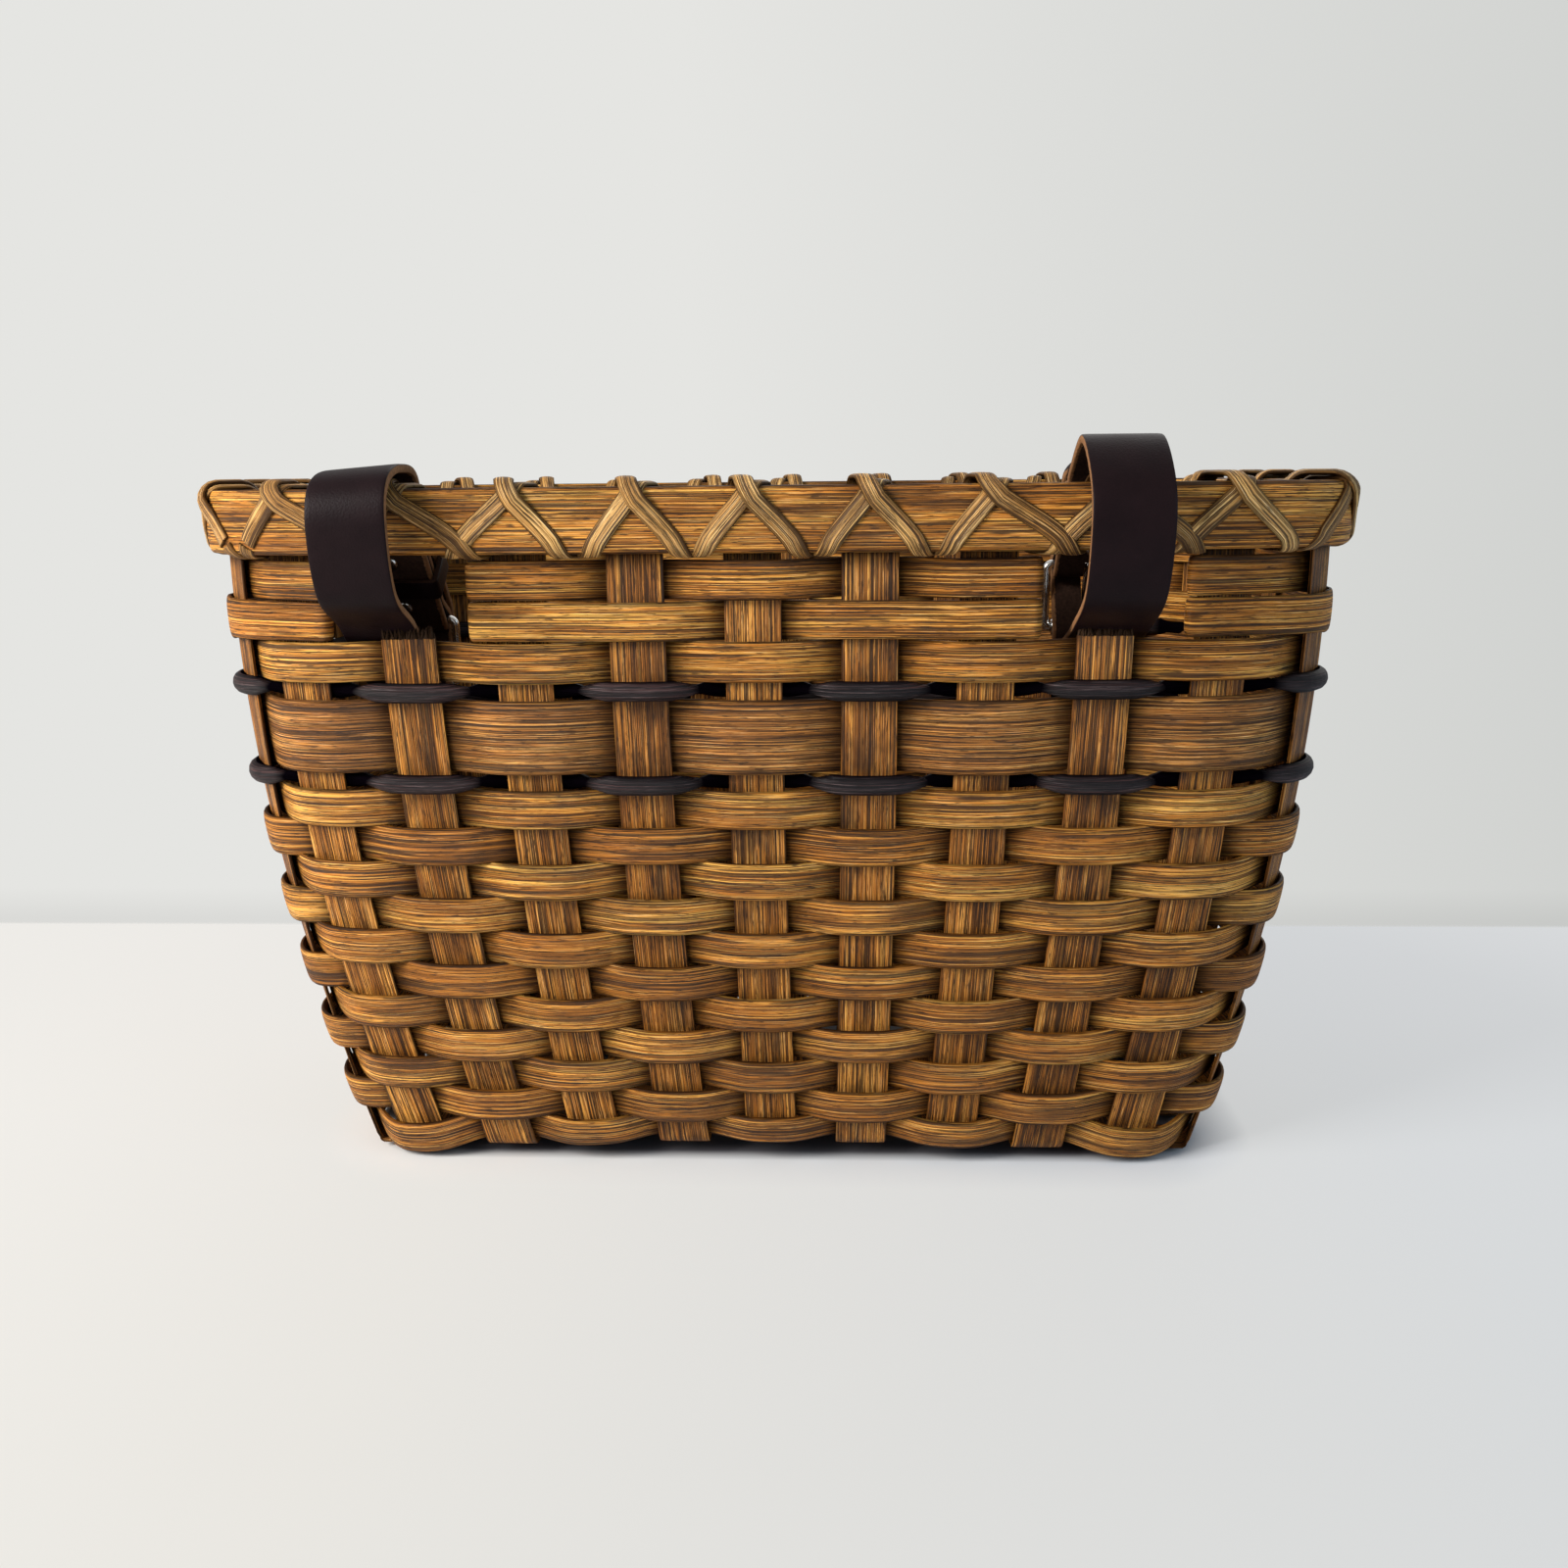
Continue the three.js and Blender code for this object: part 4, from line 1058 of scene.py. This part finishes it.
def peg(name, side, spot, angle, *size):
    """A punch at a spot of the upright plane, turned by the angle: round of (radius, length), or a box."""
    shape = bmesh.new()
    if len(size) == 2:
        radius, length = size
        level = Matrix.Rotation(math.pi / 2, 4, "X")
        ends = dict(radius1=radius, radius2=radius, depth=length)
        bmesh.ops.create_cone(shape, cap_ends=True, segments=20, matrix=level, **ends)
    else:
        bmesh.ops.create_cube(shape, size=1.0, matrix=Matrix.Diagonal((*size, 1)))
    shape.transform(Matrix.Translation(in_room(side, spot)) @ Matrix.Rotation(angle, 4, "X"))
    return placed(name, mesh_of(name, shape))


def prong_crossing(lean):
    """Where the prong crosses the tail when it leans this far out from the frame, from the heel bar."""
    tail = TAIL_TO - TAIL_FROM
    prong = polar(FRAME_TILT - math.pi / 2 + lean, 1)
    reach = (TAIL_FROM.x * tail.y - TAIL_FROM.y * tail.x) / (prong.x * tail.y - prong.y * tail.x)
    return prong * reach


def punched(strip, punches, name):
    """The strip with the punches cut out of it."""
    source = bpy.data.objects.new("strap_punched", strip.data)
    bpy.data.objects.remove(strip)
    for punch in punches:
        hole = source.modifiers.new(punch.name, "BOOLEAN")
        hole.object = punch
        hole.operation = "DIFFERENCE"
        hole.solver = "EXACT"
    made = evaluated(source, name)
    for punch in punches:
        bpy.data.objects.remove(punch)
    return made


for label, side in SIDES.items():
    route = strap_route(side)
    last = len(route) - 1
    line, travelled = [], []
    for k, spot in enumerate(route):
        before = route[max(k - 1, 0)]
        ahead = (route[min(k + 1, last)] - before).normalized()
        left = (last - k) * LINE_STEP
        taper = math.sqrt(max(TIP_LEAST, 1 - max(0.0, 1 - left / TIP_LENGTH) ** TIP_POWER))
        facing = Vector((-side["lean"] * max(0.0, -ahead.x), ahead.y, -ahead.x)).normalized()
        line.append((in_room(side, spot), facing, 0.0, taper))
        travelled.append((travelled[-1] if k else 0.0) + (spot - before).length)
    form = dict(roundness=0.16, sides=28, seed=600)
    strip = lay_strip(f"strap_strip_{label}", line, STRAP_WIDTH, STRAP_THICK, STRAP_LEATHER, **form)

    slot_width = PRONG_WIDTH + 2 * STRAP_GAP
    low, high = prong_crossing(PRONG_LEAN), prong_crossing(PRONG_LEAN + PRONG_SWING)
    slot_angle = math.atan2(high.y - low.y, high.x - low.x)
    slot_length = (high - low).length + PRONG_THICK + 2 * STRAP_THICK
    slot_middle = heel_of(side) + low.lerp(high, 0.5)
    eye_reach = 2 * (EYE_RADIUS + STRAP_THICK / 2 + STRAP_GAP / 2)
    punches = [
        peg("eye_slot", side, heel_of(side), RUN_TILT, slot_width, eye_reach, eye_reach),
        peg("tail_slot", side, slot_middle, slot_angle, slot_width, slot_length, 2 * STRAP_THICK),
    ]
    for up in HOLE_HEIGHTS:
        spot = by_run(side, TAIL_RADIUS, up)
        punches.append(peg("hole", side, spot, RUN_TILT, HOLE_RADIUS, 2 * STRAP_THICK))
    strap = punched(strip, punches, f"leather_strap_{label}")

    tree = KDTree(len(line))
    for k, (at, _, _, _) in enumerate(line):
        tree.insert((0, at.y, at.z), k)
    tree.balance()
    grain, layer = [], []
    for vertex in strap.data.vertices:
        _, k, _ = tree.find((0, vertex.co.y, vertex.co.z))
        at, facing, _, _ = line[k]
        grain.append(Vector((travelled[k], vertex.co.x - at.x, 0.0)))
        layer.append((vertex.co - at).dot(facing) / (STRAP_THICK / 2))
    mark(strap.data, "grain", grain)
    mark(strap.data, "layer", layer)
    fit(strap, "leather", f"strap_{label}", f"strap_{label}")


# Keepers: a loop of the same leather round each strap's run, which holds the tail down. It slides a little
# between the rivets.

KEEPER_WIDTH = 0.008
KEEPER_THICK = 0.002
KEEPER_HEIGHT = 0.021
KEEPER_CORNER = 0.0012
# The keeper's cut edges are painted dark brown as shade, not tan like the strap's.
KEEPER_LEATHER = leather_finish("keeper_leather", KEEPER_WIDTH, ((34, 22, 18), (66, 44, 32)))


def rounded(corners, radius, first, steps):
    """Points round the corners, a quarter turn at each from the first quarter on, with the ways out."""
    ring = []
    for quarter, corner in enumerate(corners, first):
        for k in range(steps + 1):
            out = polar((quarter + k / steps) * math.pi / 2, 1)
            ring.append((Vector(corner) + out * radius, out))
    return ring


for label, side in SIDES.items():
    clear = STRAP_GAP + KEEPER_THICK / 2
    half = STRAP_WIDTH / 2 + clear - KEEPER_CORNER
    back = -EYE_RADIUS - STRAP_THICK / 2 - clear
    front = TAIL_RADIUS + STRAP_THICK / 2 + clear
    low, high = back + KEEPER_CORNER, front - KEEPER_CORNER
    corners = ((half, low), (half, high), (-half, high), (-half, low))
    start = (Vector((0, back)), Vector((0, -1)))
    middle = in_room(side, by_run(side, 0, KEEPER_HEIGHT))
    across, outward = Vector((1, 0, 0)), Vector((0, *RUN_OUT))
    line = [
        (middle + across * spot.x + outward * spot.y, across * way.x + outward * way.y, 0.0, 1.0)
        for spot, way in (start, *rounded(corners, KEEPER_CORNER, 3, 4), start)
    ]
    form = dict(roundness=0.25, sides=16, seed=700)
    keeper = lay_strip(f"leather_keeper_{label}", line, KEEPER_WIDTH, KEEPER_THICK, KEEPER_LEATHER, **form)
    fit(keeper, "leather", f"keeper_{label}", f"strap_keeper_{label}")


# Rivets: two nickel tubular rivets through each strap's fold, with low domed heads on both faces.

RIVET_HEIGHTS = (0.0105, 0.032)
RIVET_RADIUS = 0.0016
RIVET_HEAD_RADIUS = 0.003
RIVET_HEAD_THICK = 0.0012
RIVET_GRIP = FLAP_SHIFT + EYE_RADIUS + STRAP_THICK
NICKEL_DULL = (196, 194, 188)
NICKEL_BRIGHT = (232, 231, 228)


def nickel_finish():
    """Bright nickel plate with faint rubbing marks."""
    finish, tree, shader = new_finish("nickel_plate")
    place = signal(tree, "ShaderNodeTexCoord", output="Object")
    marks = noise(tree, place, 700.0, 4.0, roughness=0.5)
    ramp = put(tree, "ShaderNodeValToRGB", {0: marks})
    for stop, colour in zip(ramp.color_ramp.elements, (NICKEL_DULL, NICKEL_BRIGHT)):
        stop.color = ink(colour)
    colour = Signal(tree, ramp.outputs[0])
    feed(shader, {"Base Color": colour, "Metallic": 1.0, "Roughness": marks * 0.2 + 0.08})
    return finish


NICKEL = nickel_finish()


def rivet_tree():
    """Geometry nodes that set a rivet with two domed heads on every point, along the point's own axis."""
    tree, given = new_tool(
        "rivets", "Points", Shank="Float", Head="Float", Dome="Float", Grip="Float", Finish="Material"
    )
    inputs = {"Vertices": 16, "Radius": given["Shank"], "Depth": given["Grip"]}
    shank = signal(tree, "GeometryNodeMeshCylinder", inputs)
    dome = signal(tree, "GeometryNodeMeshUVSphere", {"Segments": 20, "Rings": 10, "Radius": 1.0})
    size = signal(tree, "ShaderNodeCombineXYZ", {0: given["Head"], 1: given["Head"], 2: given["Dome"]})
    joined = put(tree, "GeometryNodeJoinGeometry", {0: shank})
    for end in (0.5, -0.5):
        spot = signal(tree, "ShaderNodeCombineXYZ", {2: given["Grip"] * end})
        inputs = {"Geometry": dome, "Translation": spot, "Scale": size}
        feed(joined, {0: signal(tree, "GeometryNodeTransform", inputs)})
    axis = carried(tree, "axis", "FLOAT_VECTOR")
    turn = signal(tree, "FunctionNodeAlignRotationToVector", {"Vector": axis}, axis="Z")
    rivet = Signal(tree, joined.outputs[0])
    inputs = {"Points": given["Points"], "Instance": rivet, "Rotation": turn}
    return end_tool(tree, signal(tree, "GeometryNodeInstanceOnPoints", inputs), given["Finish"])


RIVETS = rivet_tree()
RIVET_FORM = dict(Shank=RIVET_RADIUS, Head=RIVET_HEAD_RADIUS, Dome=RIVET_HEAD_THICK, Grip=RIVET_GRIP)
for label, side in SIDES.items():
    middle = (FLAP_SHIFT - EYE_RADIUS) / 2
    points = [in_room(side, by_run(side, middle, up)) for up in RIVET_HEIGHTS]
    mesh = bpy.data.meshes.new("rivet_points")
    mesh.from_pydata(points, [], [])
    mark(mesh, "axis", [Vector((0, *RUN_OUT))] * len(points))
    pair = worked(f"rivets_{label}", mesh, RIVETS, Finish=NICKEL, **RIVET_FORM)
    fit(pair, "nickel", f"strap_{label}", f"strap_rivet_{label}_1", f"strap_rivet_{label}_2")


# Buckle frames: a rectangle of 3 mm nickel-plated wire, bent round and butted inside the strap's eye.

FRAME_HALF = 0.0150
FRAME_CORNER = 0.0022
FRAME_TURN = Matrix.Rotation(FRAME_TILT, 3, "X")


def in_buckle(side, x, y, z):
    """A place measured from the heel bar, in the buckle's own tilt."""
    return in_room(side, heel_of(side)) + FRAME_TURN @ Vector((x, y, z))


for label, side in SIDES.items():
    half, near, far = FRAME_HALF - FRAME_CORNER, -FRAME_CORNER, FRAME_CORNER - FRAME_REACH
    start = (Vector((0, 0)), Vector((0, 1)))
    corners = rounded(((-half, near), (-half, far), (half, far), (half, near)), FRAME_CORNER, 1, 6)
    line = [
        (in_buckle(side, spot.x, 0, spot.y), FRAME_TURN @ Vector((way.x, 0, way.y)), 0.0, 1.0)
        for spot, way in (start, *corners, start)
    ]
    form = dict(roundness=1.0, sides=18)
    wire = lay_strip(f"buckle_wire_{label}", line, 2 * BAR_RADIUS, 2 * BAR_RADIUS, NICKEL, **form)
    fit(wire, "nickel", f"buckle_{label}", f"buckle_frame_{label}")


# Rollers: a short nickel tube that turns freely on each buckle's far bar, so that the tail pulls through.

ROLLER_HALF = 0.0128
ROLLER_EDGE = 0.0003
ROLLER_SIDES = 32

for label, side in SIDES.items():
    inner, outer = BAR_RADIUS + BAR_GAP, ROLLER_RADIUS
    profile = (
        (inner, -ROLLER_HALF),
        (outer - ROLLER_EDGE, -ROLLER_HALF),
        (outer, ROLLER_EDGE - ROLLER_HALF),
        (outer, ROLLER_HALF - ROLLER_EDGE),
        (outer - ROLLER_EDGE, ROLLER_HALF),
        (inner, ROLLER_HALF),
    )
    tube = bmesh.new()
    rings = []
    for j in range(ROLLER_SIDES):
        way = polar(2 * math.pi * j / ROLLER_SIDES, 1)
        places = [in_buckle(side, x, way.x * r, way.y * r - FRAME_REACH) for r, x in profile]
        rings.append([tube.verts.new(place) for place in places])
    for j, ring in enumerate(rings):
        behind = rings[j - 1]
        for k in range(len(profile)):
            tube.faces.new((behind[k - 1], behind[k], ring[k], ring[k - 1]))
    mesh = mesh_of("roller", tube)
    mesh.materials.append(NICKEL)
    roller = evaluated(bpy.data.objects.new("roller", mesh), f"buckle_tube_{label}")
    fit(roller, "nickel", f"roller_{label}", f"buckle_roller_{label}")


# Prongs: flat nickel-plated wire, curled round the heel bar through the strap's slot. The tip rests on the
# roller.

PRONG_WIRE_THICK = 0.0015
PRONG_EYE = BAR_RADIUS + BAR_GAP + 0.0013 / 2
PRONG_EYE_SHARE = 0.85
PRONG_OVERHANG = 0.0015
CURL_START = math.radians(40)
CURL_TURN = math.radians(285)
CURL_STEPS = 20
SHANK_START = 0.0048
SHANK_STEPS = 14
SHANK_ASIDE = 0.25 * PRONG_EYE
SHANK_TAPER = 0.35

for label, side in SIDES.items():
    heading = PRONG_LEAN - math.pi / 2
    reach = FRAME_REACH + ROLLER_RADIUS + PRONG_OVERHANG
    spots = []
    for k in range(CURL_STEPS + 1):
        angle = heading + CURL_START + CURL_TURN * k / CURL_STEPS
        spots.append((polar(angle, PRONG_EYE), polar(angle, 1), PRONG_EYE_SHARE))
    aside = polar(heading + math.pi / 2, -1)
    for k in range(1, SHANK_STEPS + 1):
        t = k / SHANK_STEPS
        spot = polar(heading, part_way(SHANK_START, reach, t)) + aside * SHANK_ASIDE * (1 - t)
        spots.append((spot, aside, 1 - SHANK_TAPER * t**2))
    line = [
        (in_buckle(side, 0, spot.x, spot.y), FRAME_TURN @ Vector((0, way.x, way.y)), 0.0, share)
        for spot, way, share in spots
    ]
    form = dict(roundness=0.6, sides=14)
    prong = lay_strip(f"buckle_tongue_{label}", line, PRONG_WIDTH, PRONG_WIRE_THICK, NICKEL, **form)
    fit(prong, "nickel", f"prong_{label}", f"buckle_prong_{label}")


# Studio: a pale table that ends at a pale wall, a large soft lamp on the left and the room's own light.
# Away from the basket the camera sees the table glow, because the photograph shows it nearly without
# shade.

TABLE_HALF = 4.0
TABLE_EDGE = 0.216
TABLE_EDGE_SOFT = 0.004
TABLE_FRONT = -0.25
TABLE_SIDES = (-0.12, 0.24)
TABLE_COLOUR = (214, 212, 209)
TABLE_SHADED = (206, 211, 218)
TABLE_FAR = (238, 236, 232)
TABLE_NEAR = (227, 225, 219)
TABLE_RIGHT_SHADE = (0.89, 0.92, 0.965, 1)
CONTACT_SHADOW_COLOUR = (96, 94, 98)
CONTACT_SHADOW_EDGE = (0.002, -0.006)
SHADE_EDGE = (0.002, 0.024)
SHADE_CORNER = 0.03
GLOW_SHARE = 0.75
GLOW_WHOLE = (0.2, 0.6)
WALL_COLOUR = (229, 229, 226)
WALL_SHADE = (203, 205, 203)
WALL_SIDES = (-0.1, 0.6)
WALL_FOOT = (-0.290, -0.3135)
WALL_FOOT_AHEAD = (0.6, 0.8)
WALL_FOOT_SHADOW = 0.1
SKY_BACK = (0.24, 0.24, 0.25, 1)
SKY_FRONT = (0.30, 0.30, 0.31, 1)
SKY_TURN = (0.4, -0.7)
AIM = Vector((0, 0, 0.12))
# Each lamp's name, place, breadth, power and colour.
LAMPS = (
    ("window", (-0.92, -0.68, 0.72), 0.55, 27, (1.0, 0.98, 0.95)),
    ("room_fill", (1.7, -1.0, 0.7), 1.3, 13, (0.5, 0.77, 1.0)),
    ("back_fill", (0.5, 2.3, 1.5), 2.6, 26, (1.0, 0.98, 0.96)),
)
CAMERA_SPOT = (0.0239, -0.584, 0.2547)
CAMERA_TURN = math.radians(2.29)
CAMERA_DIP = math.radians(12.06)
CAMERA_ROLL = math.radians(-0.56)
CAMERA_SENSOR = 36
CAMERA_LENS = 33.3
CAMERA_NEAREST = 0.01


def either(share, a, b):
    """Shader a where the share is 0, and b where it is 1."""
    return signal(share.tree, "ShaderNodeMixShader", {0: share, 1: a, 2: b})


ground = bmesh.new()
bmesh.ops.create_grid(ground, x_segments=1, y_segments=1, size=TABLE_HALF)
table = placed("table", mesh_of("table", ground))
finish, tree, shader = new_finish("table_top")
table.data.materials.append(finish)
across, inward, _ = signal(tree, "ShaderNodeTexCoord", output="Object").axes()
seen = signal(tree, "ShaderNodeLightPath", output="Is Camera Ray")
rightness = across.ramp(*TABLE_SIDES)
long_way = abs(across) - (BASE_OUTLINE[0] - SHADE_CORNER)
short_way = abs(inward) - (BASE_OUTLINE[1] - SHADE_CORNER)
inside = long_way.most(short_way).reckon("MINIMUM", 0.0)
outside = (long_way.most(0.0) ** 2.0 + short_way.most(0.0) ** 2.0) ** 0.5
away = inside + outside - SHADE_CORNER
# Painted cool shade on the right side of the table, where the basket's shadow falls.
top = rightness.mix(ink(TABLE_COLOUR), ink(TABLE_SHADED))
# Painted contact shadow: the table darkens to grey just under the basket's edge.
top = away.ramp(*CONTACT_SHADOW_EDGE).mix(top, ink(CONTACT_SHADOW_COLOUR))
feed(shader, {"Base Color": top, "Roughness": 0.6, "Specular IOR Level": 0.05})
# The glow is painted lighter towards the wall and darker towards the front, as the light falls.
glow_colour = inward.ramp(TABLE_EDGE, TABLE_FRONT).mix(ink(TABLE_FAR), ink(TABLE_NEAR))
# The glow gets the same painted cool shade on the right.
glow_colour = rightness.mix(glow_colour, TABLE_RIGHT_SHADE, "MULTIPLY")
glow = signal(tree, "ShaderNodeEmission", {"Color": glow_colour, "Strength": 1.0})
glow_share = seen * away.ramp(*SHADE_EDGE) * away.ramp(*GLOW_WHOLE, GLOW_SHARE, 1.0)
lit = either(glow_share, Signal(tree, shader.outputs[0]), glow)
beyond = inward.ramp(TABLE_EDGE, TABLE_EDGE + TABLE_EDGE_SOFT) * seen
surface = either(beyond, lit, signal(tree, "ShaderNodeBsdfTransparent"))
feed(tree.nodes["Material Output"], {"Surface": surface})

room = bpy.data.worlds.new("room")
bpy.context.scene.world = room
room.use_nodes = True
tree = room.node_tree
rays = outlets(tree, put(tree, "ShaderNodeLightPath", {}))
direct = rays["Is Camera Ray"].most(rays["Is Transmission Ray"]).most(rays["Is Glossy Ray"] * 0.5)
sideways, inward, upward = signal(tree, "ShaderNodeTexCoord", output="Generated").axes()
sky = inward.ramp(*SKY_TURN).mix(SKY_BACK, SKY_FRONT)
light = signal(tree, "ShaderNodeBackground", {"Color": sky, "Strength": 1.0})
# Painted shade: the backdrop wall darkens towards the right.
wall_with_painted_shade = sideways.ramp(*WALL_SIDES).mix(ink(WALL_COLOUR), ink(WALL_SHADE))
# Painted shadow: a darker band along the foot of the wall, just above the table's edge.
foot = upward.reckon("DIVIDE", inward).ramp(*WALL_FOOT) * inward.ramp(*WALL_FOOT_AHEAD)
inputs = {"Color": wall_with_painted_shade, "Strength": 1.0 - foot * WALL_FOOT_SHADOW}
backdrop = signal(tree, "ShaderNodeBackground", inputs)
feed(tree.nodes["World Output"], {"Surface": either(direct, light, backdrop)})

for name, spot, size, power, colour in LAMPS:
    lamp = bpy.data.lights.new(name, "AREA")
    lamp.size = size
    lamp.energy = power
    lamp.color = colour
    holder = placed(name, lamp)
    holder.location = spot
    holder.rotation_euler = (AIM - Vector(spot)).to_track_quat("-Z", "Y").to_euler()

lens = bpy.data.cameras.new("camera")
lens.sensor_width = CAMERA_SENSOR
lens.lens = CAMERA_LENS
lens.clip_start = CAMERA_NEAREST
camera = placed("camera", lens)
turn = Matrix.Rotation(CAMERA_TURN, 4, "Z") @ Matrix.Rotation(math.pi / 2 - CAMERA_DIP, 4, "X")
camera.matrix_world = Matrix.Translation(CAMERA_SPOT) @ turn @ Matrix.Rotation(CAMERA_ROLL, 4, "Z")
bpy.context.scene.camera = camera
bpy.context.scene.view_settings.view_transform = "Standard"
